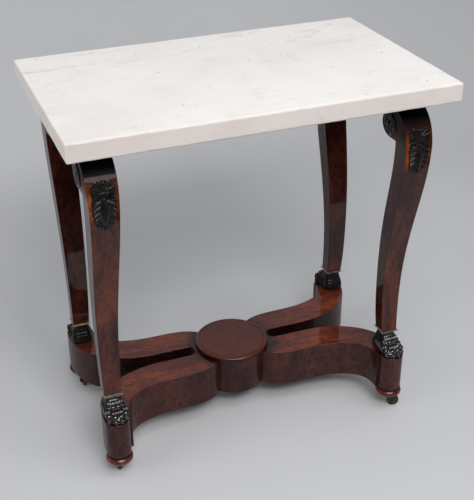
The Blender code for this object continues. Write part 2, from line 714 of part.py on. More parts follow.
def disc():
    half = DISC_THICKNESS / 2
    ring = DISC_RADIUS - DISC_RING_INSET
    groove = DISC_THICKNESS - DISC_RING_DEPTH
    profile = [
        (0.0, DISC_THICKNESS),
        (ring - DISC_RING_WIDTH, DISC_THICKNESS),
        (ring - DISC_RING_WIDTH / 2, groove),
        (ring, DISC_THICKNESS),
        (DISC_RADIUS - half, DISC_THICKNESS),
    ]
    profile += arc((DISC_RADIUS - half, half), (half, half), math.pi / 2, -math.pi / 2)
    profile += [
        (DISC_SPIGOT_RADIUS, 0.0),
        (DISC_SPIGOT_RADIUS, -DISC_SPIGOT_LENGTH),
        (0.0, -DISC_SPIGOT_LENGTH),
    ]
    add_part("platform_disc", turned(profile, DISC_STEPS), "mahogany", (0, 0, Z_PLATFORM_TOP + SEAT))


def bun_feet():
    """Turned feet: a bead over a cushion, with a spigot above and a bore for the castor's peg."""
    cushion = BUN_HEIGHT - BUN_RING_HEIGHT
    bead = BUN_RING_HEIGHT / 2
    widest = cushion / (1 + math.sin(BUN_SHOULDER))
    shoulder = BUN_BOTTOM_RADIUS + (BUN_RADIUS - BUN_BOTTOM_RADIUS) * math.cos(BUN_SHOULDER)
    spigot_top = BUN_HEIGHT + BUN_SPIGOT_LENGTH
    bore = PEG_RADIUS + FIT
    profile = [
        (0.0, spigot_top),
        (BUN_SPIGOT_RADIUS, spigot_top),
        (BUN_SPIGOT_RADIUS, BUN_HEIGHT),
        (BUN_RING_RADIUS - bead, BUN_HEIGHT),
    ]
    profile += arc((BUN_RING_RADIUS - bead, cushion + bead), (bead, bead), math.pi / 2, -math.pi / 2)
    profile.append((shoulder, cushion))
    profile += arc((BUN_BOTTOM_RADIUS, widest), (BUN_RADIUS - BUN_BOTTOM_RADIUS, widest),
                   BUN_SHOULDER, -math.pi / 2)
    profile += [(bore, 0.0), (bore, PEG_LENGTH + FIT), (0.0, PEG_LENGTH + FIT)]
    bun = turned(profile, TURN_STEPS)
    for corner, (x, y) in CORNERS.items():
        add_part("bun_foot_" + corner, bun, "mahogany", (x * LEG_X, y * BLOCK_Y, Z_BUN))


def castor_levels():
    """Underside of the flange, top and underside of the fork's crown, and the pivot head's top."""
    flange = CASTOR_HEIGHT - SEAT - FLANGE_THICKNESS
    crown_top = flange - RUNNING
    crown_low = crown_top - CROWN_THICKNESS
    return flange, crown_top, crown_low, crown_low - RUNNING


def castor_plate():
    flange, _, _, head = castor_levels()
    top = CASTOR_HEIGHT - SEAT
    return turned([
        (0.0, top + PEG_LENGTH),
        (PEG_RADIUS, top + PEG_LENGTH),
        (PEG_RADIUS, top),
        (FLANGE_RADIUS, top),
        (FLANGE_RADIUS, flange),
        (PIVOT_RADIUS, flange),
        (PIVOT_RADIUS, head),
        (PIVOT_HEAD_RADIUS, head),
        (PIVOT_HEAD_RADIUS, head - PIVOT_HEAD_HEIGHT),
        (0.0, head - PIVOT_HEAD_HEIGHT),
    ], SMALL_TURN_STEPS)


def cheek_inside():
    """Half the room between the fork's cheeks."""
    return WHEEL_WIDTH / 2 + HUB_PROUD + RUNNING


def castor_fork():
    """Fork that trails along +X from the swivel axis at the origin."""
    _, top, low, _ = castor_levels()
    hole = PIVOT_RADIUS + RUNNING
    profile = [(hole, low), (hole, top), (CROWN_RADIUS, top), (CROWN_RADIUS, low), (hole, low)]
    crown = turned(profile, SMALL_TURN_STEPS)
    half = CHEEK_TOP_LENGTH / 2
    down = arc((CASTOR_TRAIL, WHEEL_RADIUS), (CHEEK_BOSS_RADIUS, CHEEK_BOSS_RADIUS),
               CHEEK_ARC / 2 - math.pi / 2, -CHEEK_ARC / 2 - math.pi / 2, 2 * ARC_STEPS)
    outline = [(-half, top - SEAT), (half, top - SEAT)] + down
    eye = AXLE_RADIUS + FIT
    sides = []
    for sign in (-1, 1):
        middle = sign * (cheek_inside() + CHEEK_THICKNESS / 2)
        place = Matrix.Translation((0, middle, 0)) @ Matrix.Rotation(math.pi / 2, 4, "X")
        sides.append(prism(outline, CHEEK_THICKNESS, place))
    fork = combined(crown, "UNION", *sides)
    reach = cheek_inside() + 2 * CHEEK_THICKNESS
    return combined(fork, "DIFFERENCE", moved(rod(eye, -reach, reach), axle_place()))


def axle_place():
    return Matrix.Translation((CASTOR_TRAIL, 0, WHEEL_RADIUS)) @ Matrix.Rotation(math.pi / 2, 4, "X")


def castor_axle():
    head = cheek_inside() + CHEEK_THICKNESS + SEAT
    end = head + AXLE_HEAD_HEIGHT
    mesh = turned([
        (0.0, end),
        (AXLE_HEAD_RADIUS, end),
        (AXLE_HEAD_RADIUS, head),
        (AXLE_RADIUS, head),
        (AXLE_RADIUS, -head),
        (AXLE_HEAD_RADIUS, -head),
        (AXLE_HEAD_RADIUS, -end),
        (0.0, -end),
    ], SMALL_TURN_STEPS)
    return moved(mesh, axle_place())


def castor_wheel():
    """Wheel about its own origin, with its axle along Y."""
    half = WHEEL_WIDTH / 2
    bore = AXLE_RADIUS + FIT
    side = [
        (bore, half + HUB_PROUD),
        (HUB_RADIUS, half + HUB_PROUD),
        (HUB_RADIUS, half - HUB_PROUD),
        (WHEEL_RADIUS - WHEEL_EDGE, half - HUB_PROUD),
        (WHEEL_RADIUS, half - HUB_PROUD - WHEEL_EDGE),
    ]
    profile = side + [(radius, -height) for radius, height in reversed(side)] + side[:1]
    return moved(turned(profile, TURN_STEPS), Matrix.Rotation(math.pi / 2, 4, "X"))


def castors():
    plate, fork, axle, wheel = castor_plate(), castor_fork(), castor_axle(), castor_wheel()
    for corner, (x, y) in CORNERS.items():
        place = (x * LEG_X, y * BLOCK_Y, 0)
        add_part("castor_plate_" + corner, plate, "castor_metal", place)
        swivel = add_empty("castor_swivel_" + corner, place, CASTOR_ANGLES[corner])
        add_part("castor_fork_" + corner, fork, "castor_metal", parent=swivel)
        add_part("castor_axle_" + corner, axle, "castor_metal", parent=swivel)
        add_part("castor_wheel_" + corner, wheel, "castor_metal",
                 (CASTOR_TRAIL, 0, WHEEL_RADIUS), parent=swivel)


clear_scene()
PARTS = new_collection("centre_table")
CUTTERS = new_collection("cutters")
TABLE = add_empty("table", (0, 0, 0))
slab()
under_frame()
legs()
palmettes()
roundels()
collars()
paws()
arms()
drum()
disc()
bun_feet()
castors()
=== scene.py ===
"""Looks of the centre table: marble slab, polished mahogany, ebonised carving, brass collars and castors."""
import math
from math import pi, radians

import bmesh
import bpy
import numpy as np
from mathutils import Matrix, Vector


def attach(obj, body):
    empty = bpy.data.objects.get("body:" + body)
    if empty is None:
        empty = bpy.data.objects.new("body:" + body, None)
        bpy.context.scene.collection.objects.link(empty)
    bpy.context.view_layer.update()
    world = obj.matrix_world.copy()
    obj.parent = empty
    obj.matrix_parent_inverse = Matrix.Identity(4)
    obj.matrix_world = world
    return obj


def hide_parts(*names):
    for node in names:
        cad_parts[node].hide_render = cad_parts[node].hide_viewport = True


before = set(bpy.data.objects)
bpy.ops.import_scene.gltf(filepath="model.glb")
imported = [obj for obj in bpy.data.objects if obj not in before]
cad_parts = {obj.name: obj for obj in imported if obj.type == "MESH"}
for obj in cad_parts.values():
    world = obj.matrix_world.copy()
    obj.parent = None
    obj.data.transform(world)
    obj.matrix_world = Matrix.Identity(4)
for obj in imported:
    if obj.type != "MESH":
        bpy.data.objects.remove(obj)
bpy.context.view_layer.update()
ROOT = "table"

# Sizes shared with the solids, in metres
SEAT = 0.0003
TOP_LENGTH, TOP_WIDTH, TOP_THICKNESS, TOP_EDGE = 0.73, 0.447, 0.036, 0.004
LEG_HEIGHT, LEG_TOP_WIDTH, LEG_ANKLE_WIDTH, ANKLE_DEPTH = 0.5065, 0.058, 0.035, 0.027
WAIST_RISE, WAIST_OUTER, WAIST_INNER = 0.092, 0.0083, -0.0206
SHOULDER_OUT, SHOULDER_DROP, THROAT_OUT = 0.064, 0.0745, 0.0225
VOLUTE_DROP, VOLUTE_BACK, VOLUTE_EYE_OUT, VOLUTE_EYE_DROP = 0.0655, -0.0275, -0.0035, 0.0385
CREST_OUT, CREST_CUT = 0.0035, 0.0015
ANKLE_PULL, OUTER_WAIST_PULL, INNER_WAIST_PULL, SHOULDER_PULL = 0.8, 0.41, 0.55, 0.28
PALMETTE_WIDTH, PALMETTE_HEIGHT, PALMETTE_DROP = 0.041, 0.089, 0.0315
ROUNDEL_RADIUS = 0.0235
COLLAR_WIDTH, COLLAR_DEPTH, COLLAR_HEIGHT = 0.039, 0.038, 0.0045
PAW_HEIGHT, PAW_FORWARD = 0.042, 0.03
PLATFORM_HEIGHT, BLOCK_RADIUS, QUIRK_WIDTH, QUIRK_DEPTH = 0.083, 0.0245, 0.0065, 0.003
ARM_WIDTH, SLOT_HALF_WIDTH, SLOT_STRAIGHT, SLOT_WALL = 0.066, 0.015, 0.066, 0.012
SHOULDER_STEP, SHOULDER_ANGLE, HOLLOW_RUN = 0.009, radians(48), 0.01
OUTER_PULL, HOLLOW_PULL, DRUM_SIDE_PULL, CORNER_PULL = 0.6, 0.65, 0.45, 0.2
DRUM_RADIUS, DISC_RADIUS, DISC_THICKNESS = 0.072, 0.0785, 0.01
BUN_HEIGHT, BUN_RADIUS, BUN_BOTTOM_RADIUS = 0.0195, 0.0262, 0.0195
BUN_RING_RADIUS, BUN_RING_HEIGHT = 0.0272, 0.0034
CASTOR_HEIGHT, WHEEL_RADIUS, WHEEL_WIDTH, CASTOR_TRAIL = 0.0345, 0.0128, 0.01, 0.012
PLATE_THICKNESS, CHEEK_THICKNESS, CASTOR_PLAY, HUB_STEP = 0.0022, 0.0022, 0.0005, 0.0008
RAIL_HEIGHT = 0.024
LEG_X, ANKLE_Y, BLOCK_Y = 0.302, 0.1315, 0.1615
Z_BUN = CASTOR_HEIGHT
Z_PLATFORM = Z_BUN + BUN_HEIGHT + SEAT
Z_PLATFORM_TOP = Z_PLATFORM + PLATFORM_HEIGHT
Z_PAW = Z_PLATFORM_TOP + SEAT
Z_COLLAR = Z_PAW + PAW_HEIGHT + SEAT
Z_LEG = Z_COLLAR + COLLAR_HEIGHT + SEAT
Z_SLAB = Z_LEG + LEG_HEIGHT + SEAT + RAIL_HEIGHT + SEAT
LEG_TAPER = (LEG_TOP_WIDTH - LEG_ANKLE_WIDTH) / 2 / LEG_HEIGHT
CHEEK_INSIDE = WHEEL_WIDTH / 2 + HUB_STEP + CASTOR_PLAY
CORNERS = {"front_left": (-1, -1), "front_right": (1, -1), "back_left": (-1, 1), "back_right": (1, 1)}
CASTOR_DEGREES = {"front_left": 90, "front_right": -20, "back_left": -90, "back_right": 50}
SHARP_ANGLE = radians(50)


# Curves

def bezier(start, start_handle, end_handle, end, steps):
    """Points of a cubic curve after its start, up to and with its end."""
    controls = (start, start_handle, end_handle, end)
    points = []
    for i in range(1, steps + 1):
        t = i / steps
        weights = ((1 - t) ** 3, 3 * t * (1 - t) ** 2, 3 * t * t * (1 - t), t ** 3)
        points.append(tuple(sum(w * c[k] for w, c in zip(weights, controls)) for k in (0, 1)))
    return points


def polar(radius, angle):
    return (radius * math.cos(angle), radius * math.sin(angle))


def arc(centre, radii, start, end, steps):
    """Points of an elliptical arc after its start, up to and with its end."""
    angles = [start + (end - start) * i / steps for i in range(1, steps + 1)]
    return [(centre[0] + radii[0] * math.cos(a), centre[1] + radii[1] * math.sin(a)) for a in angles]


def quarter_turn(steps):
    """Cosines and sines from 0 to 90 degrees."""
    return [polar(1.0, pi / 2 * i / steps) for i in range(steps + 1)]


def inset(outline, distance):
    """Closed anticlockwise outline moved inwards."""
    mitre_limit = 0.4
    points = [Vector(p) for p in outline]
    result = []
    for i, point in enumerate(points):
        into = (point - points[i - 1]).normalized()
        out = (points[(i + 1) % len(points)] - point).normalized()
        first, second = Vector((-into.y, into.x)), Vector((-out.y, out.x))
        middle = (first + second).normalized()
        result.append(tuple(point + middle * (distance / max(middle.dot(first), mitre_limit))))
    return result


def rounded(points, radius, steps=4):
    """Open outline with its inner corners rounded."""
    result = [points[0]]
    for before, here, after in zip(points, points[1:], points[2:]):
        corner = Vector(here)
        start = corner + (Vector(before) - corner).normalized() * radius
        end = corner + (Vector(after) - corner).normalized() * radius
        for i in range(steps + 1):
            t = i / steps
            result.append(tuple(start * (1 - t) ** 2 + corner * 2 * t * (1 - t) + end * t * t))
    return result + [points[-1]]


def mirrored_half(half):
    """Section of (radius, height) points with its mirror image below."""
    return half + [(radius, -height) for radius, height in reversed(half)]


# Meshes

def mesh_of(form, name):
    mesh = bpy.data.meshes.new(name)
    form.to_mesh(mesh)
    form.free()
    return mesh


def finished(form, name):
    bmesh.ops.remove_doubles(form, verts=form.verts, dist=1e-6)
    bmesh.ops.recalc_face_normals(form, faces=form.faces)
    return mesh_of(form, name)


def bridge(form, low, high):
    for i in range(len(low)):
        j = (i + 1) % len(low)
        form.faces.new((low[i], low[j], high[j], high[i]))


def loft(name, rings):
    """Closed mesh through rings of as many points, capped at both ends."""
    form = bmesh.new()
    layers = [[form.verts.new(p) for p in ring] for ring in rings]
    for low, high in zip(layers, layers[1:]):
        bridge(form, low, high)
    form.faces.new(layers[0][::-1])
    form.faces.new(layers[-1])
    return finished(form, name)


def circles(form, profile, steps):
    angles = [2 * pi * i / steps for i in range(steps)]
    return [[form.verts.new((*polar(radius, a), height)) for a in angles] for radius, height in profile]


def lathe(name, profile, steps):
    """Closed mesh of (radius, height) points from the top of the axis to its bottom."""
    form = bmesh.new()
    layers = circles(form, profile[1:-1], steps)
    for high, low in zip(layers, layers[1:]):
        bridge(form, low, high)
    for layer, (_, height) in ((layers[0], profile[0]), (layers[-1], profile[-1])):
        tip = form.verts.new((0, 0, height))
        for one, two in zip(layer, layer[1:] + layer[:1]):
            form.faces.new((tip, one, two))
    return finished(form, name)


def hoop(name, section, steps):
    """Closed mesh of a closed (radius, height) section round an open bore."""
    form = bmesh.new()
    layers = circles(form, section, steps)
    for one, two in zip(layers, layers[1:] + layers[:1]):
        bridge(form, one, two)
    return finished(form, name)


def slab_of(name, outline, low, high, edge, steps):
    """Closed mesh of a plan outline between two heights, with rounded edges."""
    rings = []
    for cos, sin in quarter_turn(steps):
        rings.append([(x, y, low + edge * (1 - cos)) for x, y in inset(outline, edge * (1 - sin))])
    for cos, sin in quarter_turn(steps):
        rings.append([(x, y, high - edge * (1 - sin)) for x, y in inset(outline, edge * (1 - cos))])
    return loft(name, rings)


def mirrored_x(mesh):
    copy = mesh.copy()
    copy.transform(Matrix.Scale(-1, 4, (1, 0, 0)))
    copy.flip_normals()
    return copy


def joined(name, *meshes):
    form = bmesh.new()
    for mesh in meshes:
        form.from_mesh(mesh)
    return mesh_of(form, name)


def ellipsoid(centre, radii, tilt, fan=Matrix(), detail=3):
    """Ellipsoid tilted about X by degrees, then turned by a matrix."""
    turn = fan @ Matrix.Rotation(radians(-tilt), 4, "X")
    form = bmesh.new()
    bmesh.ops.create_icosphere(form, subdivisions=detail, radius=1.0)
    form.transform(Matrix.Translation(centre) @ turn @ Matrix.Diagonal((*radii, 1)))
    return mesh_of(form, "ellipsoid")


def outer_part(mesh):
    """Mesh without the small bubbles that remeshing can leave inside it."""
    form = bmesh.new()
    form.from_mesh(mesh)
    ahead = [max(form.verts, key=lambda vertex: vertex.co.length)]
    reached = set(ahead)
    while ahead:
        vertex = ahead.pop()
        for edge in vertex.link_edges:
            other = edge.other_vert(vertex)
            if other not in reached:
                reached.add(other)
                ahead.append(other)
    bubbles = [vertex for vertex in form.verts if vertex not in reached]
    bmesh.ops.delete(form, geom=bubbles, context="VERTS")
    return mesh_of(form, mesh.name)


# Objects

def in_scene(name, data):
    obj = bpy.data.objects.new(name, data)
    bpy.context.scene.collection.objects.link(obj)
    return obj


def melted(mesh, voxel):
    """One smooth skin round overlapping forms."""
    obj = in_scene("bake", mesh)
    remesh = obj.modifiers.new("remesh", "REMESH")
    remesh.mode = "VOXEL"
    remesh.voxel_size = voxel
    obj.modifiers.new("smooth", "SMOOTH")
    bpy.context.view_layer.update()
    graph = bpy.context.evaluated_depsgraph_get()
    result = bpy.data.meshes.new_from_object(obj.evaluated_get(graph))
    bpy.data.objects.remove(obj, do_unlink=True)
    return result


def add(name, mesh, material, stands_for, location=(0, 0, 0), turn=0.0, body=ROOT, flat=False):
    """A piece in place of CAD nodes. Flat pieces keep their large faces' own normals."""
    mesh = mesh.copy()
    mesh.name = name
    mesh.materials.append(material)
    mesh.shade_smooth()
    mesh.set_sharp_from_angle(angle=SHARP_ANGLE)
    piece = in_scene(name, mesh)
    piece.location = location
    piece.rotation_euler = (0, 0, turn)
    if flat:
        modifier = piece.modifiers.new("flat", "WEIGHTED_NORMAL")
        modifier.keep_sharp = True
    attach(piece, body)
    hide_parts(stands_for)


def outward_turn(sign_y):
    """Turn about Z that points a piece made for the back (+Y) to its own side."""
    return 0.0 if sign_y > 0 else pi


def add_at_ankles(name, mesh, material_for, stands_for, height, flat=False):
    """The same piece at the four ankles; material_for gives each its own material."""
    for seed, (corner, (x, y)) in enumerate(CORNERS.items()):
        add(name + corner, mesh, material_for(seed, corner), stands_for + corner,
            (x * LEG_X, y * ANKLE_Y, height), outward_turn(y), flat=flat)


# Nodes of materials

def feed(made, inputs):
    """Constants and links for the inputs of a node."""
    for key, value in inputs.items():
        if isinstance(value, bpy.types.NodeSocket):
            made.id_data.links.new(value, made.inputs[key])
        else:
            made.inputs[key].default_value = value


def source(tree, kind):
    """Outputs of a node that has no inputs."""
    return tree.nodes.new("ShaderNode" + kind).outputs


def node(kind, inputs, **settings):
    """A node in the tree that its linked inputs are in."""
    links = [value for value in inputs.values() if isinstance(value, bpy.types.NodeSocket)]
    made = links[0].id_data.nodes.new("ShaderNode" + kind)
    for key, value in settings.items():
        setattr(made, key, value)
    feed(made, inputs)
    return made


def new_material(name):
    """A material, its shader, and the coordinates and normals of its piece."""
    material = bpy.data.materials.new(name)
    material.use_nodes = True
    tree = material.node_tree
    coords = source(tree, "TexCoord")
    return material, tree.nodes["Principled BSDF"], coords["Object"], coords["Normal"]


def mapped(vector, scale=(1, 1, 1), offset=(0, 0, 0), turn=(0, 0, 0)):
    inputs = {"Vector": vector, "Scale": scale, "Location": offset, "Rotation": turn}
    return node("Mapping", inputs).outputs[0]


def noise(vector, scale, detail=3.0, roughness=0.5, distortion=0.0):
    inputs = {"Vector": vector, "Scale": scale, "Detail": detail, "Roughness": roughness,
              "Distortion": distortion}
    return node("TexNoise", inputs).outputs[0]


def maths(operation, a, b=0.0, c=0.0):
    return node("Math", {0: a, 1: b, 2: c}, operation=operation).outputs[0]


def times(a, b):
    return maths("MULTIPLY", a, b)


def part_of(vector, axis):
    return node("SeparateXYZ", {0: vector}).outputs[axis]


def size_along(vector, axis):
    return maths("ABSOLUTE", part_of(vector, axis))


def ramp(factor, stops):
    made = node("ValToRGB", {"Fac": factor})
    elements = made.color_ramp.elements
    while len(elements) < len(stops):
        elements.new(1.0)
    for element, (place, colour) in zip(elements, stops):
        element.position = place
        element.color = (*colour, 1.0)
    return made.outputs[0]


def mixed(factor, a, b, blend="MIX"):
    return node("Mix", {0: factor, 6: a, 7: b}, data_type="RGBA", blend_type=blend).outputs[2]


def tinted(colour, tint, share=1.0):
    return mixed(share, colour, tint, "MULTIPLY")


def between(value, low, high, start=0.0, end=1.0, interpolation="SMOOTHSTEP"):
    """A step from start to end, over a range of a value."""
    inputs = {"Value": value, "From Min": low, "From Max": high, "To Min": start, "To Max": end}
    return node("MapRange", inputs, interpolation_type=interpolation).outputs[0]


def spread(value, low, high):
    """A value from 0 to 1 sent to a range."""
    return between(value, 0.0, 1.0, low, high, "LINEAR")


def bump(height, distance, strength, normal=None):
    inputs = {"Height": height, "Distance": distance, "Strength": strength}
    if normal is not None:
        inputs["Normal"] = normal
    return node("Bump", inputs).outputs[0]


# Mahogany

MAHOGANY = [
    (0.18, (0.022, 0.0046, 0.0038)),
    (0.4, (0.06, 0.0118, 0.008)),
    (0.58, (0.108, 0.0225, 0.012)),
    (0.82, (0.19, 0.044, 0.0165)),
]
EVEN_FIGURE = (0.5, 0.5, 0.5, 1)
SPOT_TINT = (0.42, 0.4, 0.52, 1)
PAINTED_SHADE = (0.45, 0.45, 0.45, 1)
NEAR_BLACK = (0.006, 0.005, 0.005, 1)
BARE_WOOD = [(0.35, (0.11, 0.024, 0.006)), (0.65, (0.34, 0.085, 0.014))]
POLISH, SIDE_POLISH, TOP_POLISH, BLACK_POLISH = 0.65, 0.46, 0.85, 0.1


def stretched(place, grain, amount):
    """Coordinates drawn out along the grain."""
    return mapped(place, [amount if axis == grain else 1.0 for axis in "XYZ"])


def figure_of(along, mottle):
    """The wood's figure, from broad waves to flecks."""
    figure = times(noise(along(0.4), 11.0, 2.0, 0.5, 0.6), 0.28)
    waves = noise(along(0.25), 42.0, 3.0, 0.55, 0.9)
    fleck = noise(along(0.12), 640.0, 2.0, 0.6)
    for layer, weight in ((waves, 0.34), (mottle, 0.26), (fleck, 0.12)):
        figure = maths("MULTIPLY_ADD", layer, weight, figure)
    return figure


def ragged_height(here, mottle, amount):
    """Height in the piece, disturbed by the mottle."""
    return maths("MULTIPLY_ADD", maths("SUBTRACT", mottle, 0.5), amount, part_of(here, 2))


def painted_leg_shade(here, normals, colour):
    """Painted shade: darker sides of a leg towards the ankle, and a darker inner face."""
    low = between(part_of(here, 2), LEG_HEIGHT * 0.4, LEG_HEIGHT * 0.75, 1.0, 0.3)
    flank = between(size_along(normals, 0), 0.5, 0.9)
    colour = tinted(colour, PAINTED_SHADE, times(low, flank))
    return tinted(colour, between(part_of(normals, 1), -0.8, -0.4, 0.8, 1.0))


def rubbed(here, normals, colour, mottle, worn):
    """A leg's outer face rubbed bare between two heights, most at one side."""
    low, high = worn
    fade = (high - low) * 0.5
    height = ragged_height(here, mottle, 0.02)
    rub = between(height, low, low + fade)
    for limit in (between(height, high - fade, high, 1.0, 0.0),
                  between(part_of(normals, 1), 0.4, 0.8),
                  between(part_of(here, 0), -0.03, 0.016, 0.15, 1.0)):
        rub = times(rub, limit)
    return mixed(times(rub, 0.9), colour, ramp(mottle, BARE_WOOD))


def painted_arm_shade(here, normals, colour, mottle, is_top):
    """Painted shade on an arm: on the slot's wall, round the disc and the paw, and in the quirk."""
    across, out = size_along(here, 0), part_of(here, 1)
    flat = node("CombineXYZ", {0: across, 1: out}).outputs[0]
    away = node("VectorMath", {0: flat}, operation="LENGTH").outputs["Value"]
    away = maths("MULTIPLY_ADD", mottle, 0.016, away)
    near_disc = between(away, DISC_RADIUS + 0.012, DISC_RADIUS + 0.04, 1.0, 0.0)
    near_paw = between(out, BLOCK_Y - 0.032, BLOCK_Y - 0.012)
    near = times(maths("MAXIMUM", near_disc, near_paw), is_top)
    block_x = LEG_X - BLOCK_RADIUS
    quirk = times(between(out, BLOCK_Y - 0.02, BLOCK_Y - 0.014),
                  between(across, block_x - 0.001, block_x + 0.001, 1.0, 0.0))
    darkening = maths("MAXIMUM", times(quirk, 0.6), near)
    wall = between(part_of(normals, 1), -0.9, -0.4, 0.3, 1.0)
    return tinted(tinted(colour, wall), spread(darkening, 1.0, 0.22))


def mahogany(name, seed, grain="Z", side_shade=None, tone=1.0, calm=0.25, gloss=0.05, black_above=None,
             worn=None, leg_shade=False, arm_shade=False):
    """French-polished mottled mahogany.

    side_shade: the sides are veneered with upright grain, and painted this much darker and bluer than the
    top as shade.
    tone: how light the whole is. calm: how much less figure such a top has.
    gloss: the coat's roughness. black_above: two heights over which it turns black.
    worn: two heights between which the outer face is rubbed bare.
    """
    material, shader, here, normals = new_material(name)
    place = mapped(here, offset=(seed * 0.37, seed * 0.71, seed * 0.53))
    is_top = maths("GREATER_THAN", size_along(normals, 2), 0.5)
    veneered = side_shade is not None

    def along(amount):
        path = stretched(place, grain, amount)
        if not veneered:
            return path
        upright = stretched(place, "Z", amount ** 0.4)
        return node("Mix", {0: is_top, 4: upright, 5: path}, data_type="VECTOR").outputs[1]

    mottle = noise(along(0.45), 150.0, 4.0, 0.62, 0.4)
    pores = noise(along(0.06), 1900.0, 1.0)
    figure = figure_of(along, mottle)
    if veneered:
        figure = mixed(spread(is_top, 0.3, calm), figure, EVEN_FIGURE)
    colour = ramp(between(figure, 0.32, 0.68, interpolation="LINEAR"), MAHOGANY)
    colour = tinted(colour, between(pores, 0.34, 0.46, 0.45, 1.0, "LINEAR"), 0.6)
    spots = noise(along(0.55), 95.0, 2.0, 0.5, 0.3)
    colour = tinted(colour, SPOT_TINT, between(spots, 0.54, 0.7, 0.0, 0.6))
    colour = tinted(colour, (tone, tone, tone, 1))
    coat = {}
    if veneered:
        # Painted shade: the upright sides are darker and bluer than the top.
        side_shade_tint = (side_shade, side_shade * 1.4, side_shade * 2.0, 1)
        colour = tinted(colour, mixed(is_top, side_shade_tint, (1, 1, 1, 1)))
        coat["Coat Weight"] = spread(is_top, SIDE_POLISH, TOP_POLISH)
    # Painted shade on the leg's sides and inner face
    if leg_shade:
        colour = painted_leg_shade(here, normals, colour)
    if worn is not None:
        colour = rubbed(here, normals, colour, mottle, worn)
    if black_above is not None:
        low, high = black_above
        height = ragged_height(here, mottle, 0.01)
        colour = mixed(between(height, low, high), colour, NEAR_BLACK)
        coat["Coat Weight"] = between(height, low - 1.5 * (high - low), low, POLISH, BLACK_POLISH)
    # Painted shade in the slot and the quirk, and round the disc and the paw
    if arm_shade:
        colour = painted_arm_shade(here, normals, colour, mottle, is_top)
    ripple = bump(noise(along(0.25), 26.0, 2.0), 0.0005, 0.25)
    feed(shader, {
        "Base Color": colour,
        "Roughness": spread(mottle, 0.36, 0.56),
        "Normal": bump(pores, 0.00006, 0.25, ripple),
        "Specular IOR Level": 0.03,
        "Coat Weight": POLISH,
        "Coat Roughness": gloss,
        "Coat Normal": ripple,
    })
    feed(shader, coat)
    return material


# Other materials

VEIN_GREY, SPECK_GREY = (0.5, 0.485, 0.46, 1), (0.3, 0.29, 0.28, 1)
# Painted shade for the slab's long sides and painted light for its ends
SMUDGE_TINT, LONG_SIDE_SHADE = (0.96, 0.91, 0.87, 1), (0.8, 0.74, 0.71, 1)
END_LIGHT, TOP_TINT = (1.16, 1.11, 1.06, 1), (0.985, 0.965, 0.955, 1)


def veined(here, top, colour):
    """Faint slanted veins in patches, fainter on the edges of the slab."""
    slanted = mapped(here, (0.55, 1.9, 1.3), turn=(0, 0, radians(-58)))
    for scale, width, offset, depth in ((3.6, 0.01, 3.1, 0.55), (7.5, 0.007, 8.7, 0.4)):
        bend = mapped(slanted, offset=(offset, offset * 0.6, offset * 0.3))
        waves = noise(bend, scale, 6.0, 0.58, 0.5)
        line = maths("ABSOLUTE", maths("SUBTRACT", waves, 0.5))
        vein = between(line, 0.0, width, 1.0, 0.0, "LINEAR")
        patch = between(noise(bend, scale * 0.8, 2.0), 0.5, 0.62, 0.0, depth, "LINEAR")
        shown = times(times(vein, patch), spread(top, 0.3, 1.0))
        colour = mixed(shown, colour, VEIN_GREY)
    return colour


def speckled(here, top, colour):
    """A few ragged specks on the upper face."""
    cells = node("TexVoronoi", {"Vector": here, "Scale": 16.0}, voronoi_dimensions="2D").outputs
    chosen = node("SeparateColor", {0: cells["Color"]}).outputs[0]
    ragged = maths("MULTIPLY_ADD", noise(here, 420.0, 2.0), 0.05, cells["Distance"])
    speck = times(maths("LESS_THAN", ragged, 0.062), maths("GREATER_THAN", chosen, 0.8))
    return mixed(times(speck, spread(top, 0.0, 0.65)), colour, SPECK_GREY)


def marble():
    """Honed white marble with veins, warm clouds and specks; its underside is painted dark as shade."""
    material, shader, here, normals = new_material("marble")
    facing = part_of(normals, 2)
    top = between(facing, 0.5, 0.9)
    colour = ramp(noise(here, 4.5, 5.0, 0.6, 0.4), [
        (0.3, (0.74, 0.715, 0.69)),
        (0.48, (0.8, 0.785, 0.77)),
        (0.7, (0.83, 0.82, 0.81)),
    ])
    colour = veined(here, top, colour)
    colour = speckled(here, top, colour)
    smudge = between(noise(here, 24.0, 4.0, 0.6, 0.8), 0.56, 0.72, 0.0, 0.8)
    colour = tinted(colour, SMUDGE_TINT, smudge)
    crystals = between(noise(here, 900.0, 2.0), 0.3, 0.6, 0.86, 1.0, "LINEAR")
    colour = tinted(colour, crystals, 0.25)
    long_side = between(size_along(normals, 1), 0.2, 0.8)
    end = between(size_along(normals, 0), 0.2, 0.8)
    # Painted shade on the long sides and painted light on the ends; the top is tinted warmer.
    for tint, share in ((LONG_SIDE_SHADE, long_side), (END_LIGHT, end), (TOP_TINT, top)):
        colour = tinted(colour, tint, share)
    # Painted shade: the slab's underside is coloured dark brown-grey.
    underside_shade = ramp(noise(here, 60.0, 5.0, 0.7), [(0.3, (0.05, 0.044, 0.038)), (0.7, (0.12, 0.108, 0.095))])
    feed(shader, {
        "Base Color": mixed(maths("LESS_THAN", facing, -0.8), colour, underside_shade),
        "Roughness": spread(noise(here, 22.0, 4.0), 0.34, 0.56),
        "Normal": bump(noise(here, 140.0, 4.0), 0.00015, 0.4),
        "Specular IOR Level": 0.4,
    })
    return material


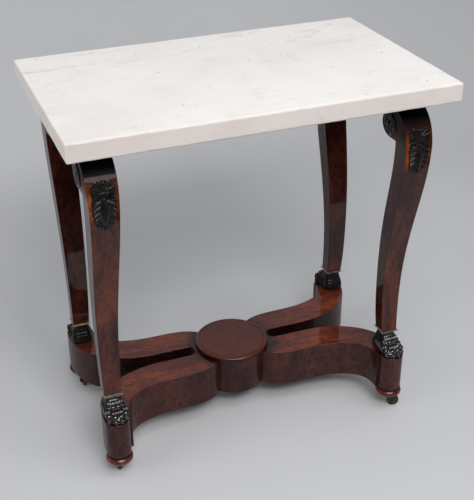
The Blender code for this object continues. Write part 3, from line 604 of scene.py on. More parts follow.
def ebonised(name, seed, polish=0.36, depth=1.5, rubbed_front=False):
    """Carved wood, stained black and polished, with brownish patches here and there.

    depth: the polish's index. rubbed_front: only the parts that face forwards have the full polish.
    """
    material, shader, here, normals = new_material(name)
    place = mapped(here, offset=(seed, seed * 0.7, seed * 0.4))
    feed(shader, {
        "Base Color": ramp(noise(place, 160.0, 4.0, 0.6), [
            (0.35, (0.0045, 0.004, 0.004)),
            (0.55, (0.011, 0.0095, 0.009)),
            (0.75, (0.03, 0.019, 0.014)),
        ]),
        "Roughness": spread(noise(place, 260.0, 3.0), 0.22, 0.46),
        "Normal": bump(noise(place, 700.0, 2.0), 0.0001, 0.4),
        "Specular IOR Level": 0.1,
        "Coat Weight": polish,
        "Coat Roughness": 0.06,
        "Coat IOR": depth,
    })
    if rubbed_front:
        front = between(part_of(normals, 1), 0.1, 0.5, 0.06 * polish, polish)
        feed(shader, {"Coat Weight": front})
    return material


def aged_metal(name, bright, dull, scale):
    """Cast metal with a darker patina in patches and a rubbed sheen."""
    material, shader, here, _ = new_material(name)
    patina = noise(here, scale, 5.0, 0.62, 0.5)
    feed(shader, {
        "Base Color": ramp(patina, [(0.36, dull), (0.62, bright)]),
        "Roughness": between(patina, 0.35, 0.65, 0.52, 0.26, "LINEAR"),
        "Normal": bump(noise(here, scale * 4, 3.0), 0.0001, 0.35),
        "Metallic": 1.0,
    })
    return material


def deal():
    """Stained softwood of the hidden frame, with growth rings along X."""
    material, shader, here, _ = new_material("deal")
    rings = noise(mapped(here, (0.05, 1.0, 1.0)), 130.0, 4.0, 0.6, 0.8)
    feed(shader, {
        "Base Color": ramp(rings, [
            (0.32, (0.085, 0.042, 0.02)),
            (0.52, (0.17, 0.092, 0.046)),
            (0.72, (0.24, 0.14, 0.072)),
        ]),
        "Roughness": spread(rings, 0.62, 0.82),
        "Normal": bump(rings, 0.0003, 0.4),
    })
    return material


# Marble slab

def slab_outline():
    """Plan with small round corners and evenly spaced points along the sides."""
    radius, corner_steps, pitch = 0.004, 6, 0.008
    corners = []
    for quarter, (sx, sy) in enumerate(((1, 1), (-1, 1), (-1, -1), (1, -1))):
        centre = (sx * (TOP_LENGTH / 2 - radius), sy * (TOP_WIDTH / 2 - radius))
        start = quarter * pi / 2
        first = (centre[0] + radius * math.cos(start), centre[1] + radius * math.sin(start))
        corners.append([first] + arc(centre, (radius, radius), start, start + pi / 2, corner_steps))
    outline = []
    for corner, after in zip(corners, corners[1:] + corners[:1]):
        start, end = Vector(corner[-1]), Vector(after[0])
        count = int((end - start).length / pitch)
        outline += corner + [tuple(start.lerp(end, i / count)) for i in range(1, count)]
    return outline


def marble_slab():
    """Slab with softly rounded edges that waver a little, as hand-worked stone does."""
    outline = [Vector(point) for point in slab_outline()]
    count, steps = len(outline), 5
    inward, edges = [], []
    for i in range(count):
        towards = outline[(i + 1) % count] - outline[i - 1]
        inward.append(Vector((-towards.y, towards.x)).normalized())
        waver = 0.5 + 0.5 * math.sin(0.9 * i) * math.sin(0.37 * i + 1.0)
        edges.append(TOP_EDGE * (0.85 + 0.3 * waver))

    def ring(out, up, level, sign):
        spots = [point + normal * edge * (1 - out) for point, normal, edge in zip(outline, inward, edges)]
        return [(x, y, level + sign * edge * (1 - up)) for (x, y), edge in zip(spots, edges)]

    rings = [ring(sin, cos, 0.0, 1) for cos, sin in quarter_turn(steps)]
    rings += [ring(cos, sin, TOP_THICKNESS, -1) for cos, sin in quarter_turn(steps)]
    mesh = loft("marble_slab", rings)
    add("marble_slab", mesh, marble(), "marble_top", (0, 0, Z_SLAB), flat=True)


# Scroll legs

EDGE_STEPS = 26
LEG_WORN = (0.385, 0.482)
# Heights over which a leg turns black towards its crest, under the slab
LEG_BLACK = (0.467, 0.489)


def ankle_handles(ankle, waist):
    """Handles of the curve from the ankle to the waist."""
    return (ankle[0] - ANKLE_PULL * (ankle[0] - waist[0]), WAIST_RISE / 3), (waist[0], WAIST_RISE * 2 / 3)


def leg_outer_edge(steps=EDGE_STEPS):
    """Outer edge from the ankle to the crest: (outward, up) from the ankle's centre."""
    ankle = (ANKLE_DEPTH / 2, 0.0)
    waist = (WAIST_OUTER, WAIST_RISE)
    shoulder = (SHOULDER_OUT, LEG_HEIGHT - SHOULDER_DROP)
    rise = shoulder[1] - waist[1]
    low, high = ankle_handles(ankle, waist)
    points = [ankle] + bezier(ankle, low, high, waist, steps // 2)
    points += bezier(waist, (waist[0], waist[1] + OUTER_WAIST_PULL * rise),
                     (shoulder[0], shoulder[1] - SHOULDER_PULL * rise), shoulder, steps)
    points += arc((CREST_OUT, shoulder[1]), (SHOULDER_OUT - CREST_OUT, SHOULDER_DROP + CREST_CUT),
                  0.0, pi / 2, steps)
    return points


def leg_inner_edge():
    """Inner edge from the crest round the volute and down to the ankle."""
    steps = EDGE_STEPS
    ankle = (-ANKLE_DEPTH / 2, 0.0)
    waist = (WAIST_INNER, WAIST_RISE)
    throat = (THROAT_OUT, LEG_HEIGHT - VOLUTE_DROP)
    eye = (VOLUTE_EYE_OUT, LEG_HEIGHT - VOLUTE_EYE_DROP)
    rise = throat[1] - waist[1]
    points = arc((CREST_OUT, eye[1]), (CREST_OUT - VOLUTE_BACK, VOLUTE_EYE_DROP + CREST_CUT),
                 pi / 2, pi, steps)
    points += arc(eye, (eye[0] - VOLUTE_BACK, VOLUTE_DROP - VOLUTE_EYE_DROP),
                  pi, pi * 3 / 2, steps // 2)
    points.append(throat)
    points += bezier(throat, (throat[0], throat[1] - SHOULDER_PULL * rise),
                     (waist[0], waist[1] + INNER_WAIST_PULL * rise), waist, steps)
    low, high = ankle_handles(ankle, waist)
    return points + bezier(waist, high, low, ankle, steps // 2)


def leg_half_width(rise):
    return LEG_ANKLE_WIDTH / 2 + LEG_TAPER * rise


def leg_mesh():
    """Leg with softened arrises, wider towards the top."""
    arris, arris_steps, closest = 0.001, 3, 0.0002
    outline = [(y, min(z, LEG_HEIGHT)) for y, z in leg_outer_edge() + leg_inner_edge()]
    clean = [outline[0]]
    for point in outline[1:]:
        if (Vector(point) - Vector(clean[-1])).length > closest:
            clean.append(point)
    quarter = quarter_turn(arris_steps)
    rings = []
    for side, turn in ((-1, quarter), (1, quarter[::-1])):
        for cos, sin in turn:
            back = arris * (1 - cos)
            ring = inset(clean, arris * (1 - sin))
            rings.append([(side * (leg_half_width(z) - back), y, z) for y, z in ring])
    return loft("leg", rings)


def legs():
    def wood(seed, corner):
        return mahogany("mahogany_leg_" + corner, seed + 1.3, tone=0.6, worn=LEG_WORN,
                        black_above=LEG_BLACK, leg_shade=True)

    add_at_ankles("scroll_leg_", leg_mesh(), wood, "leg_", Z_LEG, flat=True)


# Carved palmettes

def dome(distance):
    return np.sqrt(np.clip(1 - distance ** 2, 0, 1))


def knob(spots, place, radius, height):
    return height * dome(np.abs(spots - place) / radius)


def leaf(spots, root, tip, widths, heights):
    """Leaf from root to tip, with a half width and a height at each end."""
    along = (spots - root) / (tip - root)
    part = np.clip(along.real, 0, 1)
    width = widths[0] + (widths[1] - widths[0]) * part ** 0.7
    height = heights[0] + (heights[1] - heights[0]) * part
    return height * dome(np.abs(along - part) * abs(tip - root) / width)


def coil(spots, place, radius, height):
    """Scroll with one and a half turns."""
    reach = np.abs(spots - place) / radius
    wave = 0.5 + 0.5 * np.cos(2 * np.pi * reach * 1.6 - np.angle(spots - place))
    return dome(reach) ** 0.6 * height * (0.45 + 0.55 * wave)


def palmette_relief(across, drop):
    """Height of the carving: a fan over two scrolls, and leaves beside a smooth middle leaf.

    Places are complex numbers, the distance from the middle line and the drop below the top.
    """
    spots = np.abs(across) + 1j * drop
    run = np.clip((drop - 0.036) / 0.046, 0, 1)
    middle = 0.009 * np.sin(np.pi * run ** 0.8) ** 0.7 + 1e-6
    forms = [
        np.where(run * (1 - run) > 0, 0.004 * dome(across / middle), 0),
        leaf(spots, 0.029j, 0.039j, (0.0034, 0.0028), (0.0044, 0.0036)),
        leaf(spots, 0.0196j, 0.0092 + 0.018j, (0.002, 0.002), (0.0032, 0.0032)),
        coil(spots, 0.0072 + 0.0262j, 0.0046, 0.0046),
        coil(spots, 0.0162 + 0.0286j, 0.0052, 0.0046),
        knob(spots, 0.086j, 0.0024, 0.0042),
        knob(spots, 0.004 + 0.0836j, 0.0029, 0.0042),
    ]
    for t in (0.0, 0.25, 0.5, 0.75, 1.0):
        tip = 0.0176 - 0.006 * t ** 2.5 + (0.04 + 0.0392 * t) * 1j
        root = 0.006 - 0.002 * t + (tip.imag - 0.0062) * 1j
        flat = 1 - 0.5 * t
        forms.append(leaf(spots, root, tip, (0.002, 0.0041), (0.0014, 0.0042 * flat)))
        forms.append(knob(spots, tip + 0.0004 - 0.0006j, 0.0023, 0.005 * flat))
    for tip in (0.003j, 0.0072 + 0.003j, 0.014 + 0.0042j, 0.0188 + 0.0096j):
        forms.append(leaf(spots, 0.017j, tip, (0.0012, 0.0029), (0.002, 0.0042)))
    return np.max(forms, axis=0)


def palmette_mesh():
    """Carving along the leg's outer edge, with a rim that follows its leaves."""
    spokes, levels, back_levels = 320, 56, 8
    ground, least, tilt_step = 0.0005, 0.0012, 0.001
    widened, softened = 7, 5
    edge_y, edge_z = np.array(leg_outer_edge(60)).T
    angle = np.linspace(0, 2 * np.pi, spokes, endpoint=False)
    wide, tall = PALMETTE_WIDTH / 2 * np.cos(angle), PALMETTE_HEIGHT / 2 * np.sin(angle)
    shares = np.linspace(1.35, 0.3, 211)
    grid = np.array([palmette_relief(wide * k, PALMETTE_HEIGHT / 2 - tall * k) for k in shares])
    rim = shares[np.argmax(grid > least, axis=0)]
    rim = np.max([np.roll(rim, k) for k in range(-widened, widened + 1)], axis=0)
    rim = np.mean([np.roll(rim, k) for k in range(-softened, softened + 1)], axis=0)

    def ring(reach, height=None):
        across, drop = wide * rim * reach, PALMETTE_HEIGHT / 2 - tall * rim * reach
        if height is None:
            height = np.maximum(palmette_relief(across, drop), ground)
        z = LEG_HEIGHT - PALMETTE_DROP - drop
        y, ahead, behind = (np.interp(z + step, edge_z, edge_y) for step in (0.0, tilt_step, -tilt_step))
        slope = (ahead - behind) / (2 * tilt_step)
        scale = (SEAT + height) / np.sqrt(1 + slope ** 2)
        return list(zip(across, y + scale, z - slope * scale))

    rings = [ring(0.01 + 0.99 * i / levels) for i in range(levels + 1)]
    rings += [ring(1.0 - 0.97 * i / back_levels, 0.0) for i in range(back_levels + 1)]
    return loft("palmette", rings)


def palmettes():
    def wood(seed, corner):
        return ebonised("ebonised_palmette_" + corner, seed + 2.0)

    add_at_ankles("carved_palmette_", palmette_mesh(), wood, "palmette_", Z_LEG)


# Roundels on the volutes

def roundel_mesh():
    """Rosette with a boss, petals and a beaded rim, facing +Z."""
    spokes, levels, petals, boss_reach = 120, 26, 10, 0.3
    angle = np.linspace(0, 2 * np.pi, spokes, endpoint=False)
    lobes = np.abs(np.cos(petals * angle / 2)) ** 0.7

    def relief(reach):
        boss = 0.0042 * dome(reach / boss_reach) + 0.0004 if reach < boss_reach else 0.0
        span = np.clip((reach - 0.32) / 0.48, 0, 1)
        petal = 0.0006 + 0.0026 * lobes * np.sin(np.pi * span) ** 0.6
        rim = 0.0024 * dome((reach - 0.91) / 0.09)
        return np.maximum(petal, max(boss, rim))

    def ring(reach, height):
        radius = ROUNDEL_RADIUS * reach
        return list(zip(radius * np.cos(angle), radius * np.sin(angle), height))

    reaches = [0.02 + 0.98 * i / levels for i in range(levels + 1)]
    rings = [ring(reach, relief(reach)) for reach in reaches]
    rings += [ring(reach, np.zeros(spokes)) for reach in (1.0, 0.5, 0.05)]
    return loft("roundel", rings)


def roundels():
    boss = roundel_mesh()
    rise = LEG_HEIGHT - VOLUTE_EYE_DROP
    lean = math.atan(LEG_TAPER)
    material = ebonised("ebonised_roundel", 7.0, 0.6)
    for side, sign in (("left", -1), ("right", 1)):
        mesh = boss.copy()
        mesh.transform(Matrix.Translation((sign * (leg_half_width(rise) + SEAT), 0, rise))
                       @ Matrix.Rotation(sign * (pi / 2 + lean), 4, "Y"))
        for corner, (x, y) in CORNERS.items():
            ending = "%s_%s" % (corner, side)
            add("carved_roundel_" + ending, mesh, material, "volute_roundel_" + ending,
                (x * LEG_X, y * (ANKLE_Y + VOLUTE_EYE_OUT), Z_LEG))


# Brass collars

def collar_mesh():
    """Thin moulded plate with hollow sides between pointed corners."""
    steps, hollow = 12, 0.0011
    x, y = COLLAR_WIDTH / 2, COLLAR_DEPTH / 2
    corners = [Vector(corner) for corner in ((x, -y), (x, y), (-x, y), (-x, -y))]
    outline = []
    for start, end in zip(corners, corners[1:] + corners[:1]):
        along = end - start
        inward = Vector((-along.y, along.x)).normalized()
        for k in range(steps):
            t = k / steps
            outline.append(tuple(start + along * t + inward * hollow * math.sin(pi * t)))
    profile = [(0.0044, 0.0), (0.0038, 0.0016), (0.0026, 0.0023), (0.0006, 0.0026), (0.0, 0.0029),
               (0.0, 0.0033), (0.0004, 0.0036), (0.0016, 0.0038), (0.002, COLLAR_HEIGHT)]
    return loft("collar", [[(x, y, z) for x, y in inset(outline, depth)] for depth, z in profile])


def collars():
    brass = aged_metal("brass", (0.72, 0.6, 0.47), (0.2, 0.15, 0.1), 190.0)
    add_at_ankles("brass_collar_", collar_mesh(), lambda seed, corner: brass, "ankle_collar_",
                  Z_COLLAR)


# Paws

TOES = (-0.0178, -0.006, 0.006, 0.0178)
# Height, half width, front and back of the foot without its toes
PAW_LEVELS = [
    (0.0, 0.0212, 0.05, 0.0205),
    (0.004, 0.0225, 0.0503, 0.0222),
    (0.0085, 0.0228, 0.0475, 0.0226),
    (0.0135, 0.0222, 0.042, 0.0222),
    (0.019, 0.0209, 0.035, 0.0205),
    (0.0245, 0.0193, 0.0285, 0.0184),
    (0.03, 0.0176, 0.0228, 0.0162),
    (0.0355, 0.0164, 0.018, 0.0147),
    (0.039, 0.0162, 0.0156, 0.0145),
    (PAW_HEIGHT, 0.0168, 0.0152, 0.0152),
]
HEEL_ROLL = 0.0068
KNUCKLE_TILT = 47
PAW_VOXEL = 0.00055


def paw_core():
    """Ankle and foot without the toes, with rolls of fur at the heel."""
    heights, halves, fronts, backs = zip(*PAW_LEVELS)
    layers, steps, squareness, roll_depth = 56, 64, 0.62, 0.0009
    rings = []
    for k in range(layers + 1):
        height = PAW_HEIGHT * k / layers
        half, front, back = (float(np.interp(height, heights, sizes)) for sizes in (halves, fronts, backs))
        roll = roll_depth * (abs(math.sin(pi * height / HEEL_ROLL)) - 0.4)
        roll *= min(1.0, (PAW_HEIGHT - height) / HEEL_ROLL)
        ring = []
        for i in range(steps):
            cos, sin = polar(1.0, 2 * pi * i / steps)
            across = math.copysign(abs(cos) ** squareness, cos)
            along = math.copysign(abs(sin) ** squareness, sin)
            fur = roll * min(1.0, max(0.0, -2 * sin))
            ring.append(((half + fur) * across, (front if along > 0 else back + fur) * along, height))
        rings.append(ring)
    return loft("paw_core", rings)


def toe_forms(toe):
    """A ridge, two knuckles, a pad, a claw and a fringe of fur, at a place across the paw."""
    tip = PAW_FORWARD + math.sqrt(BLOCK_RADIUS ** 2 - toe ** 2) - 0.0008
    splay = -12 * toe
    fan = Matrix.Rotation(splay, 4, "Z")
    forms = []
    for share, back, height, radii, tilt in (
            (0.92, 0.018, 0.0172, (0.005, 0.016, 0.004), 41),
            (0.84, 0.0246, 0.0262, (0.0047, 0.005, 0.003), KNUCKLE_TILT),
            (1.0, 0.008, 0.0142, (0.0052, 0.0052, 0.003), KNUCKLE_TILT),
            (1.0, 0.0046, 0.006, (0.0046, 0.0042, 0.0042), KNUCKLE_TILT),
            (1.0, 0.0012, 0.003, (0.0017, 0.0026, 0.0028), 35)):
        forms.append(ellipsoid((toe * share, tip - back, height), radii, tilt, fan))
    for strand in (-1.5, -0.5, 0.5, 1.5):
        dip = 0.0006 * strand ** 2
        place = (toe * 0.94 + strand * 0.0027, tip - 0.0158 - dip, 0.0206 - dip)
        forms.append(ellipsoid(place, (0.001, 0.005, 0.0017), 42, fan, 2))
    return forms


def fur_forms():
    """Locks of fur at the ankle's front and ribs of fur at both sides."""
    locks, ribs = 13, 7
    forms = []
    for i in range(locks):
        across = 0.0145 * (2 * i / (locks - 1) - 1)
        drop = 0.001 * (i % 2)
        place = (across, 0.0226 - 6.0 * across ** 2 + drop, 0.0314 - drop)
        forms.append(ellipsoid(place, (0.0009, 0.0019, 0.0068), -38, detail=2))
    for side in (-1, 1):
        for i in range(ribs):
            along = -0.001 + 0.0046 * i
            ahead = max(along, 0)
            place = (side * 0.0216, along, 0.0135 - 0.1 * ahead)
            radii = (0.0019, 0.0018, 0.012 - 0.14 * ahead)
            forms.append(ellipsoid(place, radii, 10 + 4 * (i % 2), detail=2))
    return forms


def paw_mesh():
    """Lion's paw of many rounded forms, melted together."""
    forms = [paw_core()]
    for toe in TOES:
        forms += toe_forms(toe)
    forms += fur_forms()
    mesh = melted(joined("paw", *forms), PAW_VOXEL)
    for vertex in mesh.vertices:
        vertex.co.z = min(max(vertex.co.z, 0.0), PAW_HEIGHT)
    return outer_part(mesh)


def paws():
    def wood(seed, corner):
        return ebonised("ebonised_paw_" + corner, seed + 11.0, 1.0, 1.8, True)

    add_at_ankles("carved_paw_", paw_mesh(), wood, "paw_", Z_PAW)


# Platform

def arm_outline():
    """Plan of the back right arm, out along the slot and back along the hollow side."""
    seam, long, short, drum_steps = SEAT / 2, 40, 14, 24
    half = SLOT_HALF_WIDTH
    drum = DRUM_RADIUS + SEAT
    slot = DRUM_RADIUS + SLOT_WALL + half
    straight = (slot + SLOT_STRAIGHT, half)
    outer_x = LEG_X + BLOCK_RADIUS
    inner_x = LEG_X - BLOCK_RADIUS - QUIRK_WIDTH
    quirk_y = BLOCK_Y - QUIRK_DEPTH
    bend_y = quirk_y - HOLLOW_RUN
    hollow = ((straight[0] + slot) / 2 + half, half + ARM_WIDTH)
    corner = polar(DRUM_RADIUS + SHOULDER_STEP, SHOULDER_ANGLE)
    run, rise = inner_x - hollow[0], bend_y - hollow[1]
    out, up = outer_x - straight[0], bend_y - straight[1]
    back = hollow[0] - corner[0]
    points = [(drum, seam), (slot - half, seam)]
    points += arc((slot, seam), (half, half - seam), pi, pi / 2, short)
    points.append(straight)
    points += bezier(straight, (straight[0] + OUTER_PULL * out, straight[1]),
                     (outer_x, bend_y - OUTER_PULL * up), (outer_x, bend_y), long)
    points.append((outer_x, BLOCK_Y))
    points += arc((LEG_X, BLOCK_Y), (BLOCK_RADIUS, BLOCK_RADIUS), 0.0, pi, long)
    points += [(LEG_X - BLOCK_RADIUS, quirk_y), (inner_x, quirk_y), (inner_x, bend_y)]
    points += bezier((inner_x, bend_y), (inner_x, bend_y - HOLLOW_PULL * rise),
                     (hollow[0] + HOLLOW_PULL * run, hollow[1]), hollow, long)
    points += bezier(hollow, (hollow[0] - DRUM_SIDE_PULL * back, hollow[1]),
                     (corner[0] + CORNER_PULL * back, corner[1] + CORNER_PULL * back), corner, short)
    points.append(polar(drum, SHOULDER_ANGLE))
    points += arc((0, 0), (drum, drum), SHOULDER_ANGLE, seam / drum, drum_steps)[:-1]
    return points


def arms():
    edge, edge_steps = 0.0011, 3
    arm = slab_of("arm", arm_outline(), 0.0, PLATFORM_HEIGHT, edge, edge_steps)
    other = mirrored_x(arm)
    for seed, (corner, (x, y)) in enumerate(CORNERS.items()):
        wood = mahogany("mahogany_arm_" + corner, seed + 5.1, "X", 0.46, 1.08, arm_shade=True)
        add("curved_arm_" + corner, arm if x == y else other, wood, "platform_arm_" + corner,
            (0, 0, Z_PLATFORM), outward_turn(y), flat=True)


def drum():
    edge, edge_steps, steps = 0.0008, 3, 128
    corners = [(0.0, PLATFORM_HEIGHT), (DRUM_RADIUS, PLATFORM_HEIGHT), (DRUM_RADIUS, 0.0), (0.0, 0.0)]
    mesh = lathe("drum", rounded(corners, edge, edge_steps), steps)
    add("turned_drum", mesh, mahogany("mahogany_drum", 9.7, "X", 0.43), "platform_drum",
        (0, 0, Z_PLATFORM), flat=True)


def disc():
    """Disc with a round edge and a fine groove near it."""
    steps, edge_steps = 160, 14
    half = DISC_THICKNESS / 2
    ring, floor = DISC_RADIUS - 0.0075, DISC_THICKNESS - 0.0007
    profile = [(0.0, DISC_THICKNESS), (ring - 0.0016, DISC_THICKNESS), (ring - 0.0012, floor),
               (ring - 0.0004, floor), (ring, DISC_THICKNESS), (DISC_RADIUS - half, DISC_THICKNESS)]
    profile += arc((DISC_RADIUS - half, half), (half, half), pi / 2, -pi / 2, edge_steps)
    profile += [(0.0, 0.0)]
    wood = mahogany("mahogany_disc", 12.4, "X", 0.4, 0.88, calm=0.75, gloss=0.3)
    add("turned_disc", lathe("disc", profile, steps), wood, "platform_disc",
        (0, 0, Z_PLATFORM_TOP + SEAT), flat=True)


# Bun feet and castors

BUN_BLACK = (BUN_HEIGHT - BUN_RING_HEIGHT, BUN_HEIGHT - BUN_RING_HEIGHT + 0.0005)


def bun_mesh():
    """Cushion with a slanted shoulder under a black bead."""
    cushion, bead = BUN_HEIGHT - BUN_RING_HEIGHT, BUN_RING_HEIGHT / 2
    softening, bead_inset = 0.0012, 0.0012
    steps, bead_steps, bulge_steps = 96, 10, 20
    ring = BUN_RADIUS - bead_inset
    widest = cushion * 0.57
    bulge = BUN_RING_RADIUS - BUN_BOTTOM_RADIUS
    slant = cushion - widest - bulge * 0.4
    edge = BUN_BOTTOM_RADIUS + bulge * 0.8
    shoulder = [(edge - slant, cushion), (edge, cushion - slant), (BUN_RING_RADIUS, widest)]
    profile = [(0.0, BUN_HEIGHT), (ring - bead, BUN_HEIGHT)]
    profile += arc((ring - bead, cushion + bead), (bead, bead), pi / 2, -pi / 2, bead_steps)
    profile += rounded(shoulder, softening)
    profile += arc((BUN_BOTTOM_RADIUS, widest), (bulge, widest), 0.0, -pi / 2, bulge_steps)
    profile += [(0.0, 0.0)]
    return lathe("bun", profile, steps)


def castor_plate_mesh():
    """Flange with a pivot and its riveted head."""
    steps = 48
    top = CASTOR_HEIGHT - SEAT
    flange = top - PLATE_THICKNESS
    head = flange - 0.0042
    profile = [(0.0, top), (0.0137, top), (0.0145, top - 0.0008), (0.0145, flange + 0.0005),
               (0.014, flange), (0.003, flange), (0.003, head), (0.0046, head), (0.0052, head - 0.0006),
               (0.005, head - 0.0017), (0.0036, head - 0.0024), (0.0, head - 0.0024)]
    return lathe("castor_plate", profile, steps)


def cheek_mesh(outline, middle):
    """Plate of an (X, Z) outline about a place along Y, with rounded edges."""
    edge, edge_steps, half = 0.0005, 2, CHEEK_THICKNESS / 2
    mesh = slab_of("cheek", outline, -half, half, edge, edge_steps)
    mesh.transform(Matrix.Translation((0, middle, 0)) @ Matrix.Rotation(pi / 2, 4, "X"))
    return mesh


def castor_fork_mesh():
    """Crown and two cheeks, trailing along +X."""
    top = CASTOR_HEIGHT - SEAT - PLATE_THICKNESS - CASTOR_PLAY
    low, shoulder = top - 0.0032, top - 0.0006
    hole, boss_radius, half = 0.0035, 0.0046, 0.0068
    steps, boss_steps, side_steps = 48, 22, 8
    crown = hoop("crown", [(hole, low), (0.0108, low), (0.0118, low + 0.001), (0.0118, top - 0.0012),
                           (0.0106, top), (hole, top)], steps)
    axle = (CASTOR_TRAIL, WHEEL_RADIUS)
    boss = arc(axle, (boss_radius, boss_radius), radians(30), radians(-210), boss_steps)
    outline = [(-half, shoulder), (half, shoulder)]
    outline += bezier((half, shoulder), (0.0098, 0.025), (0.0158, 0.02), boss[0], side_steps)
    outline += boss[1:]
    outline += bezier(boss[-1], (0.0066, 0.0185), (-0.005, 0.023), (-half, top - 0.004), side_steps)
    middle = CHEEK_INSIDE + CHEEK_THICKNESS / 2
    return joined("castor_fork", crown, *(cheek_mesh(outline[::-1], sign * middle) for sign in (-1, 1)))


def castor_axle_mesh():
    """Axle with a riveted head at each end, at its place in the fork."""
    steps = 32
    head = CHEEK_INSIDE + CHEEK_THICKNESS + SEAT
    half = [(0.0, head + 0.0011), (0.0016, head + 0.001), (0.0027, head + 0.0006), (0.0032, head),
            (0.0018, head)]
    mesh = lathe("castor_axle", mirrored_half(half), steps)
    mesh.transform(Matrix.Translation((CASTOR_TRAIL, 0, WHEEL_RADIUS)) @ Matrix.Rotation(pi / 2, 4, "X"))
    return mesh


def castor_wheel_mesh():
    """Wheel about its own centre, with its axle along Y."""
    steps = 64
    half, bore, hub, rim = WHEEL_WIDTH / 2, 0.0021, 0.0062, WHEEL_RADIUS
    side = [(bore, half + HUB_STEP), (hub - 0.0006, half + HUB_STEP), (hub, half + 0.0003),
            (hub, half - 0.001), (hub + 0.0012, half - 0.0014), (rim - 0.0034, half - 0.0011),
            (rim - 0.0022, half - 0.0008), (rim - 0.0008, half - 0.0014), (rim - 0.0001, half - 0.0026),
            (rim, half - 0.0038)]
    mesh = hoop("castor_wheel", mirrored_half(side), steps)
    mesh.transform(Matrix.Rotation(pi / 2, 4, "X"))
    return mesh


def feet():
    bun, plate, fork = bun_mesh(), castor_plate_mesh(), castor_fork_mesh()
    axle, wheel = castor_axle_mesh(), castor_wheel_mesh()
    dark = aged_metal("castor_bronze", (0.075, 0.06, 0.044), (0.022, 0.018, 0.014), 320.0)
    bright = aged_metal("castor_brass", (0.125, 0.098, 0.068), (0.03, 0.025, 0.019), 260.0)
    for seed, (corner, (x, y)) in enumerate(CORNERS.items()):
        place = Vector((x * LEG_X, y * BLOCK_Y, 0))
        turn = radians(CASTOR_DEGREES[corner])
        hub = place + Vector((*polar(CASTOR_TRAIL, turn), WHEEL_RADIUS))
        swivel, roller = "castor_swivel_" + corner, "castor_roller_" + corner
        wood = mahogany("mahogany_bun_" + corner, seed + 15.2, "X", tone=1.35, gloss=0.24,
                        black_above=BUN_BLACK)
        add("turned_bun_" + corner, bun, wood, "bun_foot_" + corner,
            place + Vector((0, 0, Z_BUN)))
        for name, part, mesh, metal, spot, angle, body in (
                ("cast_plate_", "castor_plate_", plate, dark, place, 0.0, ROOT),
                ("cast_fork_", "castor_fork_", fork, dark, place, turn, swivel),
                ("riveted_axle_", "castor_axle_", axle, bright, place, turn, swivel),
                ("cast_wheel_", "castor_wheel_", wheel, bright, hub, turn, roller)):
            add(name + corner, mesh, metal, part + corner, spot, angle, body)


def hidden_frame():
    """Frame and dowels stay the CAD solids, in stained deal."""
    material = deal()
    for name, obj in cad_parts.items():
        if name.startswith(("frame_rail", "leg_dowel")):
            obj.data.materials.clear()
            obj.data.materials.append(material)


# Studio

PAPER_FRONT = -0.86
DARK_ROOM = (0.02, 0.02, 0.02, 1)
SKY_COLOUR, SEEN_SKY = (0.97, 0.985, 1.0, 1.0), 0.45


def camera():
    data = bpy.data.cameras.new("camera")
    data.lens = 71.267
    data.shift_x = 0.05694
    data.shift_y = -0.00051
    place = (-0.6311, -1.6575, 1.3738)
    yaw, pitch, roll = radians(19.36), radians(29.56), radians(-1.13)
    obj = in_scene("camera", data)
    obj.matrix_world = (Matrix.Translation(place) @ Matrix.Rotation(-yaw, 4, "Z")
                        @ Matrix.Rotation(pi / 2 - pitch, 4, "X") @ Matrix.Rotation(roll, 4, "Z"))
    bpy.context.scene.camera = obj


def studio_paper():
    """Pale paper that a camera behind or under it looks through.

    The polish mirrors a dark room in front of the paper's edge.
    """
    material, shader, here, _ = new_material("studio_paper")
    colour = ramp(noise(here, 1.2), [(0.3, (0.505, 0.51, 0.525)), (0.7, (0.535, 0.54, 0.555))])
    tree = material.node_tree
    rays = source(tree, "LightPath")
    beyond = maths("LESS_THAN", part_of(here, 1), PAPER_FRONT)
    mirrored = times(beyond, rays["Is Glossy Ray"])
    feed(shader, {"Base Color": mixed(mirrored, colour, DARK_ROOM), "Roughness": 0.85})
    behind = times(source(tree, "NewGeometry")["Backfacing"], rays["Is Camera Ray"])
    clear = source(tree, "BsdfTransparent")[0]
    surface = node("MixShader", {0: behind, 1: shader.outputs[0], 2: clear}).outputs[0]
    feed(tree.nodes["Material Output"], {"Surface": surface})
    return material


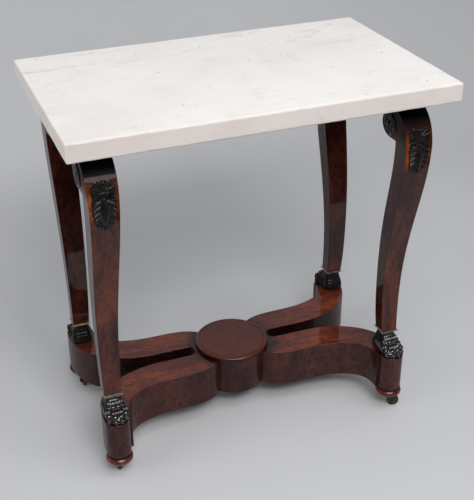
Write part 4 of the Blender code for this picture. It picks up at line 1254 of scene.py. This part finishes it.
def studio_floor():
    """Floor that sweeps up into a backdrop."""
    front, bend, radius, top, wide, steps = -5.0, 0.95, 1.2, 4.5, 6.0, 24
    section = [(front, 0.0), (bend, 0.0)]
    section += arc((bend, radius), (radius, radius), -pi / 2, 0.0, steps)
    section.append((bend + radius, top))
    form = bmesh.new()
    left = [form.verts.new((-wide, y, z)) for y, z in section]
    right = [form.verts.new((wide, y, z)) for y, z in section]
    for i in range(len(section) - 1):
        form.faces.new((left[i], right[i], right[i + 1], left[i + 1]))
    mesh = mesh_of(form, "studio_floor")
    mesh.shade_smooth()
    mesh.materials.append(studio_paper())
    in_scene("studio_floor", mesh)


def sky():
    """A faint sky, lower where the polish mirrors it, and even where the camera sees it."""
    world = bpy.data.worlds.new("studio")
    bpy.context.scene.world = world
    world.use_nodes = True
    tree = world.node_tree
    up = part_of(source(tree, "TexCoord")["Generated"], 2)
    rays = source(tree, "LightPath")
    lit = between(up, 0.3, 0.6, 0.0, 0.45)
    mirrored = between(up, 0.2, 0.5, 0.0024, 0.11)
    strength = node("Mix", {0: rays["Is Glossy Ray"], 2: lit, 3: mirrored}).outputs[0]
    strength = node("Mix", {0: rays["Is Camera Ray"], 2: strength, 3: SEEN_SKY}).outputs[0]
    feed(tree.nodes["Background"], {"Color": SKY_COLOUR, "Strength": strength})


def area_light(name, place, target, size, watts, mirrored=False):
    data = bpy.data.lights.new(name, "AREA")
    data.shape = "RECTANGLE"
    data.size, data.size_y = size
    data.energy = watts
    obj = in_scene(name, data)
    obj.location = place
    obj.rotation_euler = (Vector(target) - Vector(place)).to_track_quat("-Z", "Y").to_euler()
    obj.visible_camera = False
    obj.visible_glossy = mirrored
    obj.visible_diffuse = not mirrored


def lights():
    """A lamp in front, a soft box overhead and a fill at the left; the polish mirrors a strip instead."""
    high_aim, low_aim = (0, 0, 0.6), (0, 0, 0.2)
    area_light("lamp", (-0.45, -3.0, 3.2), high_aim, (2.0, 0.8), 96.0)
    area_light("soft_box", (0.6, -1.6, 3.3), low_aim, (3.0, 2.0), 52.0)
    area_light("fill", (-3.2, -0.6, 1.6), high_aim, (1.6, 1.6), 22.0)
    area_light("strip", (-0.2, -3.1, 3.1), high_aim, (3.2, 0.8), 115.0, mirrored=True)


camera()
studio_floor()
sky()
lights()
marble_slab()
legs()
palmettes()
roundels()
collars()
paws()
arms()
drum()
disc()
feet()
hidden_frame()
bpy.context.scene.view_settings.view_transform = "Standard"
